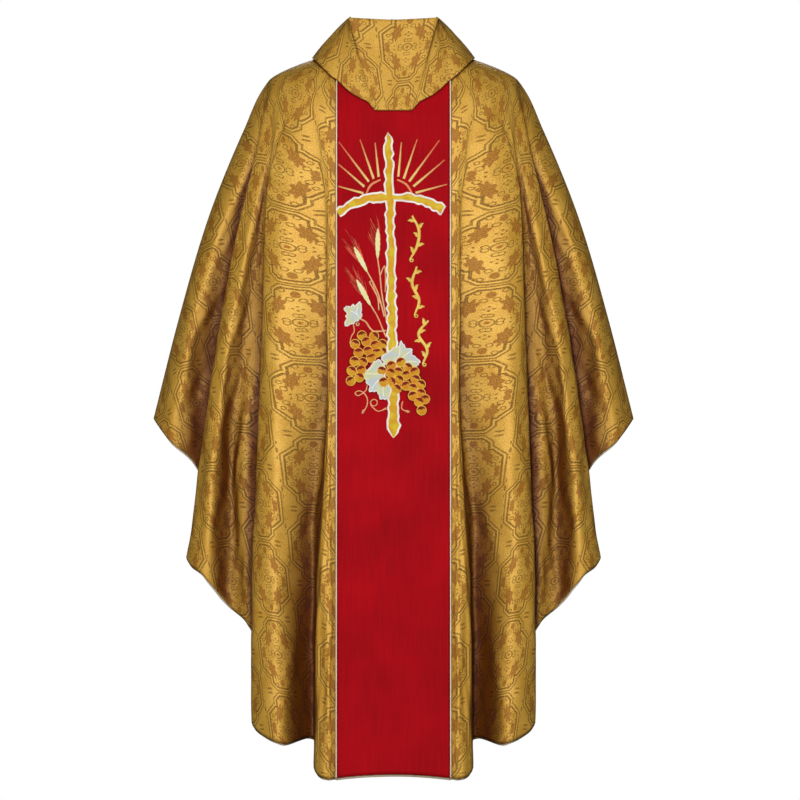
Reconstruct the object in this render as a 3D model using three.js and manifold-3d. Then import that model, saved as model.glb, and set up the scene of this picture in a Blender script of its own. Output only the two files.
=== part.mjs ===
// A chasuble: a wide sleeveless vestment of gold damask with a red embroidered centre band (orphrey)
// front and back and a stand-and-fall collar, as it hangs when it is worn.
// Millimetres, +Z up, the front faces -Y. The origin lies between the two neck points of the shoulders.
import * as THREE from "three";
import { mergeVertices } from "three/addons/utils/BufferGeometryUtils.js";
import Module from "manifold-3d";

const wasm = await Module();
wasm.setup();

// ---------------------------------------------------------------- driving dimensions
const frontLength = 1236; // from the neck point down to the front hem, beside the centre
const backLength = 1236; // the same at the back
const halfSpan = 414; // centre line to the lowest corner of a side
const sideDrop = 622; // neck point down to that corner
const orphreyWidth = 196; // red band, between the middles of its pipings
const neckHalfWidth = 88;
const neckFrontDepth = 80; // neckline, forward of the shoulder seam
const neckBackDepth = 70;
const collarHeight = 70; // top fold above the neck point
const collarTopHalfWidth = 77;
const collarTopFront = 60; // top fold, forward of the shoulder seam
const collarTopBack = 62;
const collarSpread = 138.5; // half width of the collar's free edge, on the shoulders
const flapDrop = 89; // lower edge of the collar's front flap, below the neck point
const chestDepth = 104; // cloth at the front, forward of the shoulder seam
const backDepth = 98;
const frontSlope = 0.0776; // how much the front leans out for each millimetre down
const backSlope = 0.066;
const archRise = 6; // how much higher the hem is at the middle of the band

const clothThickness = 2;
const liningThickness = 1;
const interfacingThickness = 0.8;
const gap = 0.3; // clearance between two layers that lie on each other
const pipingRadius = 1.2;
const facingThickness = 0.6; // strip of cloth turned up inside the hem
const threadThickness = 0.6; // one layer of embroidery

const halfBand = orphreyWidth / 2;
const seamHalf = pipingRadius + gap; // from the piping's middle to the cloth on each side
const liningTop = -(clothThickness + gap);
const liningBottom = liningTop - liningThickness;

// ---------------------------------------------------------------- the draped surface
// Fold lines run from the neckline to the hem. Each is given at four levels: chest, waist, knee and hem.
// across: 0 at the band's edge, 1 at halfSpan. depth: 0 at the shoulder plane, 1 at the front of the band.
// hem: where the line ends, 0 at sideDrop and 1 at the face's length.
const foldLines = [
  { name: "band edge", across: [0, 0, 0, 0], depth: [1, 1, 1, 1], hem: 1 },
  { name: "strip crest", across: [0.03, 0.03, 0.035, 0.038], depth: [1, 1.01, 1.03, 1.03], hem: 1.002 },
  { name: "column edge", across: [0.047, 0.04, 0.092, 0.104], depth: [0.98, 0.98, 0.98, 0.95], hem: 0.9899 },
  { name: "valley behind the column", across: [0.06, 0.05, 0.127, 0.123], depth: [0.96, 0.88, 0.72, 0.62], hem: 0.8933 },
  { name: "second column's crest", across: [0.272, 0.335, 0.335, 0.291], depth: [0.93, 0.95, 0.95, 0.93], hem: 0.9054 },
  { name: "second column's edge", across: [0.377, 0.41, 0.446, 0.459], depth: [0.8, 0.78, 0.76, 0.74], hem: 0.849 },
  { name: "recess behind it", across: [0.345, 0.295, 0.32, 0.34], depth: [0.76, 0.62, 0.52, 0.46], hem: 0.7141 },
  { name: "small crest", across: [0.362, 0.405, 0.497, 0.481], depth: [0.74, 0.62, 0.58, 0.56], hem: 0.5753 },
  { name: "valley of the third fold", across: [0.37, 0.467, 0.566, 0.576], depth: [0.7, 0.58, 0.5, 0.46], hem: 0.5269 },
  { name: "third fold's crest", across: [0.395, 0.538, 0.649, 0.718], depth: [0.68, 0.68, 0.66, 0.64], hem: 0.4404 },
  { name: "third fold's edge", across: [0.443, 0.595, 0.712, 0.816], depth: [0.58, 0.5, 0.46, 0.42], hem: 0.3901 },
  { name: "recess behind it", across: [0.42, 0.52, 0.61, 0.67], depth: [0.54, 0.34, 0.24, 0.18], hem: 0.2491 },
  { name: "valley of the side", across: [0.415, 0.555, 0.7, 0.769], depth: [0.5, 0.34, 0.28, 0.24], hem: 0.1263 },
  { name: "side crest", across: [0.45, 0.64, 0.8, 0.908], depth: [0.42, 0.4, 0.38, 0.34], hem: 0.0619 },
  { name: "ridge", across: [0.509, 0.706, 0.861, 1], depth: [0, 0, 0, 0], hem: 0 },
];
const ridge = foldLines.length; // its index; the centre line is 0 and the band's edge is 1
const levels = [0, 0.06, 0.12, 0.28, 0.5, 0.75, 1]; // neckline, collar edge, shoulder, chest, waist, knee, hem
const dropShare = [0.2, 0.45, 0.72, 1]; // of the way from the collar edge to the hem, from the chest down
const sharpestFold = 0.6; // cosine of half the turn up to which a shell keeps its thickness
const seamClearance = gap / 2; // front and back meet at the shoulder seam, this far from its plane

const front = {
  side: -1,
  length: frontLength,
  neckDepth: neckFrontDepth,
  neckMiddle: -48,
  edgeMiddle: { depth: chestDepth, z: -flapDrop - 1 },
  edgeBand: { depth: 78, z: -41 },
  shoulderMiddle: -128,
  shoulderBand: -113,
  depthAt: (z) => chestDepth - frontSlope * (z + flapDrop),
};
const back = {
  side: 1,
  length: backLength,
  neckDepth: neckBackDepth,
  neckMiddle: 2,
  edgeMiddle: { depth: 95, z: -34 },
  edgeBand: { depth: 68, z: -20 },
  shoulderMiddle: -110,
  shoulderBand: -100,
  depthAt: (z) => backDepth - backSlope * (z + flapDrop),
};
const neckSideZ = 12;
const shoulderOut = { x: 215, z: -38 }; // a point of the ridge on the shoulder's outer slope

const mix = (a, b, f) => a + (b - a) * f;

// The share of the way from the band's edge (0) to the ridge (1), and from the centre (0) to the band's edge (1).
const outShare = (s) => Math.max(0, (s - 1) / (ridge - 1));
const bandShare = (s) => Math.min(1, s);

// One line's points at the seven levels, as x, depth share and z.
function linePoints(face, s) {
  const out = outShare(s);
  const band = bandShare(s);
  const turn = (out * Math.PI) / 2;
  const angle = ((band * 60 + out * 30) * Math.PI) / 180;
  const neckZ = mix(neckSideZ, face.neckMiddle, Math.cos(angle) ** 2);
  const points = [[neckHalfWidth * Math.sin(angle), face.neckDepth * Math.cos(angle), neckZ]];

  const edgeDepth = mix(face.edgeMiddle.depth, face.edgeBand.depth, band ** 2) * Math.cos(turn);
  const edgeX = halfBand * band + (collarSpread - halfBand) * Math.sin(turn);
  const edgeZ = mix(mix(face.edgeMiddle.z, face.edgeBand.z, band ** 2), -1, Math.sin(turn));
  points.push([edgeX, edgeDepth, edgeZ]);

  const bandZ = mix(face.shoulderMiddle, face.shoulderBand, band ** 2);
  const shoulderX = halfBand * band + (shoulderOut.x - halfBand) * Math.sin(turn);
  const shoulderZ = mix(bandZ, shoulderOut.z, Math.sin(turn));
  points.push([shoulderX, face.depthAt(bandZ) * Math.cos(turn), shoulderZ]);

  const line = foldLines[Math.max(0, s - 1)] ?? foldLines[0];
  const arch = band < 1 ? archRise * (1 - band ** 2) : 0;
  const hemZ = -mix(sideDrop, face.length, line.hem) + arch;
  dropShare.forEach((share, i) => {
    const z = mix(edgeZ, hemZ, share);
    const x = s < 1 ? halfBand * band : mix(halfBand, halfSpan, line.across[i]);
    points.push([x, line.depth[i] * face.depthAt(z), z]);
  });
  return points;
}

// A smooth curve through values at the levels that never overshoots them.
function throughLevels(values, t) {
  const last = levels.length - 1;
  const slopes = levels.slice(1).map((level, i) => (values[i + 1] - values[i]) / (level - levels[i]));
  const tangent = (i) => {
    if (i === 0) return slopes[0];
    if (i === last) return slopes[last - 1];
    if (slopes[i - 1] * slopes[i] <= 0) return 0;
    return (2 * slopes[i - 1] * slopes[i]) / (slopes[i - 1] + slopes[i]);
  };
  let i = 0;
  while (i < last - 1 && t > levels[i + 1]) i += 1;
  const width = levels[i + 1] - levels[i];
  const f = (t - levels[i]) / width;
  const start = (1 + 2 * f) * (1 - f) ** 2 * values[i] + f * (1 - f) ** 2 * width * tangent(i);
  const end = f * f * (3 - 2 * f) * values[i + 1] + f * f * (f - 1) * width * tangent(i + 1);
  return start + end;
}

function onLine(face, s, t) {
  const points = linePoints(face, s);
  const [x, depth, z] = [0, 1, 2].map((k) => throughLevels(points.map((p) => p[k]), t));
  const flat = s <= 1 && t >= levels[2];
  return new THREE.Vector3(x, face.side * Math.max(seamClearance, flat ? face.depthAt(z) : depth), z);
}

// The outer face of the cloth at line s (0 centre, 1 band's edge, ridge at the side) and level t (0 neck, 1 hem).
function drape(face, s, t) {
  if (s <= 1) {
    const point = onLine(face, s, t);
    point.x *= (halfBand - seamHalf) / halfBand;
    return point;
  }
  const lines = [];
  for (let k = 1; k <= ridge; k += 1) lines.push(onLine(face, k, t));
  const beyond = lines[ridge - 2].clone();
  beyond.y = 2 * face.side * seamClearance - beyond.y;
  lines.push(beyond);
  const curve = new THREE.CatmullRomCurve3(lines, false, "centripetal");
  const point = curve.getPoint((s - 1) / (lines.length - 1));
  point.x += seamHalf;
  return point;
}

// ---------------------------------------------------------------- shells
// Offset directions of a grid of points, rows by columns: each is the mean of the faces around the point,
// lengthened at a fold so that a shell keeps its thickness there.
function gridNormals(grid, ring) {
  const rows = grid.length;
  const cols = grid[0].length;
  const facet = (r, c) => {
    if (r < 0 || r >= rows - 1 || (!ring && (c < 0 || c >= cols - 1))) return [];
    const [left, right] = [(c + cols) % cols, (c + 1 + cols) % cols];
    const diagonal = grid[r + 1][right].clone().sub(grid[r][left]);
    return [grid[r][right].clone().sub(grid[r + 1][left]).cross(diagonal).normalize()];
  };
  return grid.map((row, r) =>
    row.map((_, c) => {
      const facets = [[r - 1, c - 1], [r - 1, c], [r, c - 1], [r, c]].flatMap(([i, j]) => facet(i, j));
      const mean = facets.reduce((sum, one) => sum.add(one), new THREE.Vector3()).normalize();
      const cosine = Math.min(...facets.map((one) => one.dot(mean)));
      return mean.multiplyScalar(1 / Math.max(sharpestFold, cosine));
    })
  );
}

// A closed shell between two offsets of a grid; outward is the sign that makes its normals point out.
function shellGeometry(grid, outward, high, low, options = {}) {
  const ring = options.ring ?? false;
  const normals = options.normals ?? gridNormals(grid, ring);
  const rows = grid.length;
  const cols = grid[0].length;
  const positions = [];
  [high, low].forEach((offset) => {
    grid.forEach((row, r) =>
      row.forEach((point, c) => {
        const p = point.clone().addScaledVector(normals[r][c], outward * offset);
        positions.push(p.x, p.y, p.z);
      })
    );
  });
  const layer = rows * cols;
  const index = [];
  const quad = (a, b, c, d) => index.push(a, b, c, a, c, d);
  const id = (side, r, c) => side * layer + r * cols + (c % cols);
  const spans = ring ? cols : cols - 1;
  for (let r = 0; r < rows - 1; r += 1) {
    for (let c = 0; c < spans; c += 1) {
      quad(id(0, r, c), id(0, r + 1, c), id(0, r + 1, c + 1), id(0, r, c + 1));
      quad(id(1, r, c), id(1, r, c + 1), id(1, r + 1, c + 1), id(1, r + 1, c));
    }
  }
  for (let c = 0; c < spans; c += 1) {
    quad(id(0, 0, c), id(0, 0, c + 1), id(1, 0, c + 1), id(1, 0, c));
    quad(id(0, rows - 1, c), id(1, rows - 1, c), id(1, rows - 1, c + 1), id(0, rows - 1, c + 1));
  }
  if (!ring) {
    for (let r = 0; r < rows - 1; r += 1) {
      quad(id(0, r, 0), id(1, r, 0), id(1, r + 1, 0), id(0, r + 1, 0));
      quad(id(0, r, cols - 1), id(0, r + 1, cols - 1), id(1, r + 1, cols - 1), id(1, r, cols - 1));
    }
  }
  return oriented(positions, index);
}

// Turns every triangle over when the closed mesh's volume comes out negative.
function oriented(positions, index) {
  let volume = 0;
  const corner = (i) => new THREE.Vector3(...positions.slice(3 * i, 3 * i + 3));
  for (let i = 0; i < index.length; i += 3) {
    const [a, b, c] = [0, 1, 2].map((k) => corner(index[i + k]));
    volume += a.dot(b.cross(c));
  }
  if (volume < 0) {
    for (let i = 0; i < index.length; i += 3) {
      [index[i + 1], index[i + 2]] = [index[i + 2], index[i + 1]];
    }
  }
  const geometry = new THREE.BufferGeometry();
  geometry.setAttribute("position", new THREE.Float32BufferAttribute(positions, 3));
  geometry.setIndex(index);
  return geometry;
}

// ---------------------------------------------------------------- materials and meshes
function finish(color, roughness, metalness) {
  return new THREE.MeshStandardMaterial({ color, roughness, metalness });
}
const gold = finish(0xcda555, 0.5, 0.2);
const red = finish(0xaf0514, 0.7, 0);
const cream = finish(0xf0d7b4, 0.8, 0);
const white = finish(0xe8e2d6, 0.6, 0);
const goldThread = finish(0xe1be28, 0.4, 0.1);
const wheatThread = finish(0xeeda80, 0.5, 0);
const stemThread = finish(0xd98a5a, 0.6, 0);
const grapeThread = finish(0xd9a52a, 0.4, 0.1);
const leafThread = finish(0xdcd8c0, 0.6, 0);
const canvas = finish(0xe6dfce, 0.9, 0);

const chasuble = new THREE.Group();

function add(name, geometry, material, parent = chasuble) {
  const mesh = new THREE.Mesh(geometry, material);
  mesh.name = name;
  parent.add(mesh);
  return mesh;
}

// ---------------------------------------------------------------- cloth, lining, pipings and facing
const facingLevel = 0.98; // where the hem facing's upper edge lies
const rowLevels = [0, 0.06, 0.12, 0.28, 0.44, 0.62, 0.81, facingLevel, 1];
const bandColumns = [0, 0.5, 1];
const panelColumns = [1.001, 2, 3, 4, 5, 5.6, 6, 6.5, 7, 8, 9, 10, 11, 11.5, 12, 13, 14, ridge];

const mirrored = (point) => new THREE.Vector3(-point.x, point.y, point.z);
const halfRow = (face, columns, t) => columns.map((s) => drape(face, s, t));
const halfGrid = (face, columns) => rowLevels.map((t) => halfRow(face, columns, t));
const flipRow = (row) => row.map(mirrored).reverse();
const fullRow = (row) => [...flipRow(row.slice(row[0].x === 0 ? 1 : 0)), ...row];

// Normals that stay in the shoulder seam's plane along the ridge columns.
function ridgeNormals(grid, columns) {
  const normals = gridNormals(grid, false);
  normals.forEach((row) =>
    columns.forEach((c) => {
      row[c].y = 0;
      row[c].normalize();
    })
  );
  return normals;
}

function addFace(face, label) {
  const outward = face.side;
  const whole = halfGrid(face, [...bandColumns, ...panelColumns]).map(fullRow);
  const last = whole[0].length - 1;
  const wholeNormals = ridgeNormals(whole, [0, last]);
  const panels = { left: [0, panelColumns.length], right: [last + 1 - panelColumns.length, last + 1] };
  Object.entries(panels).forEach(([hand, [from, to]]) => {
    const columns = whole.map((row) => row.slice(from, to));
    const normals = wholeNormals.map((row) => row.slice(from, to));
    const panel = shellGeometry(columns, outward, 0, -clothThickness, { normals });
    add(`${label}_${hand}_panel`, panel, gold);
  });

  const band = halfGrid(face, bandColumns).map(fullRow);
  add(`${label}_orphrey`, shellGeometry(band, outward, 0, -clothThickness), red);

  add(`${label}_lining`, shellGeometry(whole, outward, liningTop, liningBottom, { normals: wholeNormals }), cream);

  // The facing lies on the lining along the hem, under its last row.
  const facingTop = liningBottom - gap;
  const facingOptions = { normals: wholeNormals.slice(-2) };
  const facing = shellGeometry(whole.slice(-2), outward, facingTop, facingTop - facingThickness, facingOptions);
  add(`${label}_hem_facing`, facing, cream);

  [1, -1].forEach((hand) => addPiping(face, label, hand));
}

// A round cord sewn in along the band's edge, from under the collar to the hem.
function addPiping(face, label, hand) {
  const sink = 0.6; // its middle lies this far below the outer face of the cloth
  const along = rowLevels.slice(1).map((t) => {
    const point = onLine(face, 1, t);
    return new THREE.Vector3(hand * halfBand, point.y - face.side * sink, point.z);
  });
  const section = 6;
  const positions = [];
  along.forEach((point) => {
    for (let k = 0; k < section; k += 1) {
      const turn = (2 * Math.PI * k) / section;
      positions.push(point.x + pipingRadius * Math.cos(turn), point.y + pipingRadius * Math.sin(turn), point.z);
    }
  });
  const index = [];
  for (let r = 0; r < along.length - 1; r += 1) {
    for (let k = 0; k < section; k += 1) {
      const [a, b] = [r * section + k, r * section + ((k + 1) % section)];
      index.push(a, b, b + section, a, b + section, a + section);
    }
  }
  const lastRing = (along.length - 1) * section;
  for (let k = 1; k < section - 1; k += 1) {
    index.push(0, k + 1, k);
    index.push(lastRing, lastRing + k, lastRing + k + 1);
  }
  const sideName = hand > 0 ? "right" : "left";
  add(`${label}_${sideName}_piping`, oriented(positions, index), cream);
}

addFace(front, "front");
addFace(back, "back");

// ---------------------------------------------------------------- collar
// The level on line s where the cloth lies at height z.
function levelAtHeight(face, s, z) {
  let [high, low] = [0, levels[3]];
  for (let i = 0; i < 30; i += 1) {
    const middle = (high + low) / 2;
    if (drape(face, s, middle).z > z) high = middle;
    else low = middle;
  }
  return high;
}

// A point of the collar's free edge, lying on the cloth with a small clearance.
const edgeLift = gap + clothThickness + 1;
function freeEdge(face, s, z) {
  const t = z === undefined ? levels[1] : levelAtHeight(face, s, z);
  const step = 0.02;
  const here = drape(face, s, t);
  const sideStep = s < ridge ? drape(face, s + step, t).sub(here) : new THREE.Vector3(0, -face.side, 0);
  const downStep = drape(face, s, t + step).sub(here);
  const normal = sideStep.cross(downStep).multiplyScalar(face.side).normalize();
  return here.addScaledVector(normal, edgeLift);
}

// A point of the top fold at the back: turn is 0 in the middle and 90 at the side.
const collarTopSide = collarTopHalfWidth + 3;
function topBehind(turn) {
  const angle = (turn * Math.PI) / 180;
  return new THREE.Vector3(collarTopSide * Math.sin(angle), collarTopBack * Math.cos(angle), collarHeight + 1);
}
// A point of the top fold along the side: share is 0 at the flap's corner and 1 over the shoulder seam.
const frontTop = collarHeight - 1;
function topBeside(share) {
  const x = mix(collarTopHalfWidth, collarTopSide, share);
  return new THREE.Vector3(x, -collarTopFront * (1 - share), mix(frontTop, collarHeight, share));
}

// Half of the collar's lines, from the front middle round to the back middle: free edge and top fold.
// The front flap is a flat facet with a corner on each side; past it the lines fan out over the shoulder.
const flapHalfShare = 0.33; // half the flap's lower edge, as a share of half the band
const besideShares = { 0.75: 0.25, 1: 0.36, 3: 0.46, 5: 0.56, 7: 0.66, 9: 0.76, 11: 0.86, 13: 0.94 };
const behindTurns = { 13: 84, 11: 78, 9: 72, 7: 65, 5: 58, 3: 50, 1: 40, 0.6: 22, 0: 0 };
const byLine = (table) => Object.entries(table).map(([s, v]) => [Number(s), v]).sort((p, q) => p[0] - q[0]);
const collarHalf = [
  { low: freeEdge(front, 0, -flapDrop), top: new THREE.Vector3(0, -collarTopFront - 2, frontTop - 4) },
  { low: freeEdge(front, flapHalfShare, -flapDrop), top: topBeside(0) },
  { low: freeEdge(front, flapHalfShare + 0.13, -flapDrop + 15), top: topBeside(0.14) },
  ...byLine(besideShares).map(([s, share]) => ({ low: freeEdge(front, s), top: topBeside(share) })),
  { low: freeEdge(front, ridge), top: topBeside(1) },
  ...byLine(behindTurns)
    .reverse()
    .map(([s, turn]) => ({ low: freeEdge(back, s), top: topBehind(turn) })),
];
const mirrorLine = ({ low, top }) => ({ low: mirrored(low), top: mirrored(top) });
const collarRing = [...collarHalf, ...collarHalf.slice(1, -1).reverse().map(mirrorLine)];

// Rows from the top fold (1) down to the free edge (0).
function collarGrid(shares) {
  return shares.map((share) => collarRing.map(({ low, top }) => low.clone().lerp(top, share)));
}
const fallGrid = collarGrid([1, 0.92, 0.5, 0.25, 0]);
const fallNormals = gridNormals(fallGrid, true);
const ringOutward = -1; // the ring runs from the front round the right side, so its own normals point in
const fallOptions = { ring: true, normals: fallNormals };
add("collar_fall", shellGeometry(fallGrid, ringOutward, 0, -clothThickness, fallOptions), gold);
const stiffTop = liningTop;
const stiffBottom = stiffTop - interfacingThickness;
const stiffOptions = { ring: true, normals: fallNormals.slice(1, 4) };
const stiffening = shellGeometry(fallGrid.slice(1, 4), ringOutward, stiffTop, stiffBottom, stiffOptions);
add("collar_interfacing", stiffening, canvas);

// The stand rises inside, from just over the neckline to the top fold.
const standInset = clothThickness + 5 * gap + interfacingThickness;
const standWaist = 0.06; // how much the stand narrows half way up
const footInset = 7; // from the neckline in to the stand's foot
const footLift = 3;
const standSeat = clothThickness + gap; // its upper edge lies against the fall, over the interfacing
const standGrid = [1, 0.85, 0.45, 0].map((share) =>
  collarRing.map(({ low, top }, i) => {
    const angle = Math.atan2(low.x / neckHalfWidth, Math.abs(low.y) / (low.y < 0 ? neckFrontDepth : neckBackDepth));
    const face = low.y < 0 ? front : back;
    const x = (neckHalfWidth - footInset) * Math.sin(angle);
    const y = face.side * (face.neckDepth - footInset) * Math.cos(angle);
    const foot = new THREE.Vector3(x, y, mix(neckSideZ, face.neckMiddle, Math.cos(angle) ** 2) + footLift);
    const inset = share === 1 ? standSeat : standInset;
    const head = top.clone().addScaledVector(fallNormals[0][i], -ringOutward * inset);
    const point = foot.lerp(head, share);
    const narrow = 1 - standWaist * Math.sin(Math.PI * share);
    return new THREE.Vector3(point.x * narrow, point.y * narrow, point.z);
  })
);
add("collar_stand", shellGeometry(standGrid, ringOutward, 0, -clothThickness / 2, { ring: true }), gold);

// ---------------------------------------------------------------- embroidery
// A flat group on each band: local x across, local y up the cloth from the height of the neck point,
// local z out of the cloth.
const drawnHalfBand = 98; // the embroidery is drawn for half a band of this width, and spreads with it
function bandGroup(face, slope, depth) {
  const group = new THREE.Group();
  const lean = Math.atan(slope);
  group.position.set(0, face.side * depth, 0);
  const across = new THREE.Vector3(-face.side, 0, 0);
  const up = new THREE.Vector3(0, -face.side * Math.sin(lean), Math.cos(lean));
  group.setRotationFromMatrix(new THREE.Matrix4().makeBasis(across, up, across.clone().cross(up)));
  group.scale.set(halfBand / drawnHalfBand, 1, 1);
  chasuble.add(group);
  return group;
}
const frontBand = bandGroup(front, frontSlope, front.depthAt(0));
const backBand = bandGroup(back, backSlope, back.depthAt(0));
const layerStep = threadThickness + gap;
const layerFloor = (layer) => gap + layer * layerStep;

function addFlat(name, outline, material, layer, parent = frontBand, thickness = threadThickness) {
  const shape = new THREE.Shape(outline.map(([x, y]) => new THREE.Vector2(x, y)));
  const geometry = new THREE.ExtrudeGeometry(shape, { depth: thickness, bevelEnabled: false, steps: 1 });
  geometry.translate(0, 0, layerFloor(layer));
  geometry.deleteAttribute("normal");
  geometry.deleteAttribute("uv");
  return add(name, mergeVertices(geometry, 1e-4), material, parent);
}

// The outline of a ribbon along a smooth line, with a width at each given point.
function ribbon(points, widths, steps) {
  const line = new THREE.CatmullRomCurve3(points.map(([x, y]) => new THREE.Vector3(x, y, 0)), false, "centripetal");
  const left = [];
  const right = [];
  for (let i = 0; i <= steps; i += 1) {
    const share = i / steps;
    const place = share * (widths.length - 1);
    const k = Math.min(widths.length - 2, Math.floor(place));
    const half = mix(widths[k], widths[k + 1], place - k) / 2;
    const point = line.getPoint(share);
    const tangent = line.getTangent(share);
    left.push([point.x - tangent.y * half, point.y + tangent.x * half]);
    right.push([point.x + tangent.y * half, point.y - tangent.x * half]);
  }
  return [...left, ...right.reverse()];
}

function outlineSolid(outline, layer, thickness = threadThickness) {
  const shape = new THREE.Shape(outline.map(([x, y]) => new THREE.Vector2(x, y)));
  const geometry = new THREE.ExtrudeGeometry(shape, { depth: thickness, bevelEnabled: false, steps: 1 });
  geometry.translate(0, 0, layerFloor(layer));
  geometry.deleteAttribute("normal");
  geometry.deleteAttribute("uv");
  const merged = mergeVertices(geometry, 1e-4);
  const vertProperties = new Float32Array(merged.attributes.position.array);
  return new wasm.Manifold(new wasm.Mesh({ numProp: 3, vertProperties, triVerts: new Uint32Array(merged.index.array) }));
}

function fromManifold(solid) {
  const mesh = solid.getMesh();
  const geometry = new THREE.BufferGeometry();
  geometry.setAttribute("position", new THREE.Float32BufferAttribute(mesh.vertProperties, 3));
  geometry.setIndex([...mesh.triVerts]);
  return geometry;
}

// Several outlines joined into one flat body.
function addJoined(name, outlines, material, layer, parent = frontBand) {
  const joined = outlines.map((outline) => outlineSolid(outline, layer)).reduce((all, one) => all.add(one));
  add(name, fromManifold(joined), material, parent);
}

// The cross: an upright of rough wood and an arched arm, edged in white.
const crossTop = -132;
const crossFoot = -657;
const uprightLine = [[-9, crossTop], [-7, -240], [-3, -360], [-3, -480], [1, -600], [1, crossFoot]];
const armLine = [[-94, -266], [-68, -252], [-36, -243], [0, -244], [36, -245], [62, -253], [86, -265]];
const borderWidths = { upright: [4, 15, 17, 16, 17, 22, 5], arm: [11, 13, 15, 15, 15, 14, 12] };
const fillWidths = { upright: [1, 8, 9, 8, 9, 12, 1], arm: [4, 6, 7, 7, 7, 6, 4] };
const crossSteps = 14;
const armSteps = 8;

function addCross(label, parent) {
  const border = [ribbon(uprightLine, borderWidths.upright, crossSteps), ribbon(armLine, borderWidths.arm, armSteps)];
  addJoined(`${label}cross_border`, border, white, 0, parent);
  const fill = [ribbon(uprightLine, fillWidths.upright, crossSteps), ribbon(armLine, fillWidths.arm, armSteps)];
  addJoined(`${label}cross_fill`, fill, goldThread, 1, parent);
}

// The rising sun behind the crossing: two arcs and a fan of rays that starts just outside them.
const sunCentre = [-6, -239];
const sunRadius = 38;
const rays = [
  { angle: 168, reach: 92 },
  { angle: 148, reach: 106 },
  { angle: 133, reach: 128 },
  { angle: 117, reach: 108 },
  { angle: 105, reach: 95 },
  { angle: 76, reach: 95 },
  { angle: 63, reach: 107 },
  { angle: 48, reach: 128 },
  { angle: 33, reach: 112 },
  { angle: 12, reach: 98 },
];
const polar = (radius, degrees) => {
  const turn = (degrees * Math.PI) / 180;
  return [sunCentre[0] + radius * Math.cos(turn), sunCentre[1] + radius * Math.sin(turn)];
};

function addSun(label, parent) {
  const arcs = { left: [165, 142, 120], right: [68, 40, 14] };
  Object.entries(arcs).forEach(([hand, angles]) => {
    const points = angles.map((angle) => polar(sunRadius, angle));
    addFlat(`${label}sun_arc_${hand}`, ribbon(points, [1.5, 3.5, 1.5], 6), goldThread, 0, parent);
  });
  rays.forEach(({ angle, reach }, i) => {
    const inner = sunRadius + 6;
    const outline = [polar(inner, angle + 1.4), polar(inner, angle - 1.4), polar(reach, angle - 0.6)];
    outline.push(polar(reach, angle + 0.6));
    addFlat(`${label}sun_ray_${i + 1}`, outline, goldThread, 0, parent);
  });
}

addCross("", frontBand);
addSun("", frontBand);
addCross("back_", backBand);

// Wheat: three ears with awns, on stems that meet at the cross.
const stemsMeet = [-16, -470];
const ears = [
  { foot: [-27, -352], tip: [-29, -296], width: 11 },
  { foot: [-44, -372], tip: [-69, -322], width: 11 },
  { foot: [-39, -428], tip: [-64, -384], width: 10 },
];
const kernels = 5;
const awnLength = 26;

// An ear's outline: a row of pointed kernels down each side and a spray of awns at the tip.
function earOutline({ foot, tip, width }) {
  const along = [tip[0] - foot[0], tip[1] - foot[1]];
  const length = Math.hypot(...along);
  const up = along.map((v) => v / length);
  const place = (f, w) => [foot[0] + up[0] * f * length - up[1] * w, foot[1] + up[1] * f * length + up[0] * w];
  const half = [place(0, 0)];
  const other = [];
  for (let k = 0; k < kernels; k += 1) {
    const taper = 1 - 0.45 * (k / kernels);
    half.push(place((k + 0.75) / kernels, (width / 2) * taper), place((k + 0.9) / kernels, width * 0.25 * taper));
    other.push(place((k + 0.75) / kernels, (-width / 2) * taper), place((k + 0.9) / kernels, -width * 0.25 * taper));
  }
  const reach = 1 + awnLength / length;
  const awns = [place(reach, 5), place(1.02, 0.8), place(reach + 0.08, 0), place(1.02, -0.8), place(reach, -5)];
  return [...half, ...awns, ...other.reverse()];
}
ears.forEach((ear, i) => addFlat(`wheat_ear_${i + 1}`, earOutline(ear), wheatThread, 0));
const stems = ears.map(({ foot }) => {
  const start = [foot[0] + 0.5, foot[1] - 1.2];
  const bend = [mix(foot[0], stemsMeet[0], 0.3), mix(foot[1], stemsMeet[1], 0.55)];
  return ribbon([start, bend, stemsMeet], [1.6, 1.8, 2.4], 5);
});
addJoined("wheat_stems", stems, stemThread, 0);

// Vine leaves with pointed lobes: a small one on the stalk and a large one that shows as two lobes.
const smallLeaf = [[-57, -423], [-54, -433], [-57, -451], [-82, -463], [-83, -448], [-79, -440], [-84, -432], [-69, -427]];
addFlat("small_leaf", smallLeaf, leafThread, 0);
const upperLeaf = [[-18, -512], [-8, -510], [5, -498], [11, -489], [20, -503], [33, -504], [30, -515], [47, -525]];
upperLeaf.push([38, -537], [16, -535], [-14, -529]);
addFlat("upper_leaf", upperLeaf, leafThread, 2);
const lowerLeaf = [[-26, -522], [-55, -546], [-42, -562], [-39, -578], [-27, -575], [-21, -590], [-8, -589], [-4, -577]];
lowerLeaf.push([-14, -556], [-16, -530]);
addFlat("lower_leaf", lowerLeaf, leafThread, 2);

// Grapes: round berries that overlap enough to be one body.
const berryRadius = 9.8;
const berrySides = 6;
const berriesLeft = [[-54, -481], [-33, -482], [-66, -495], [-47, -491], [-32, -497], [-19, -495], [-60, -510]];
berriesLeft.push([-44, -507], [-29, -509], [-20, -506], [-67, -525], [-52, -526], [-39, -519], [-72, -541]);
berriesLeft.push([-55, -540], [-73, -559], [-58, -552]);
const berriesRight = [[-20, -541], [-4, -532], [13, -526], [25, -535], [-5, -545], [8, -544], [22, -547], [36, -547]];
berriesRight.push([-17, -561], [-4, -559], [10, -555], [38, -552], [22, -574], [33, -568], [5, -572], [47, -565]);
berriesRight.push([33, -584], [47, -580], [54, -590], [44, -595], [48, -610]);

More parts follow.
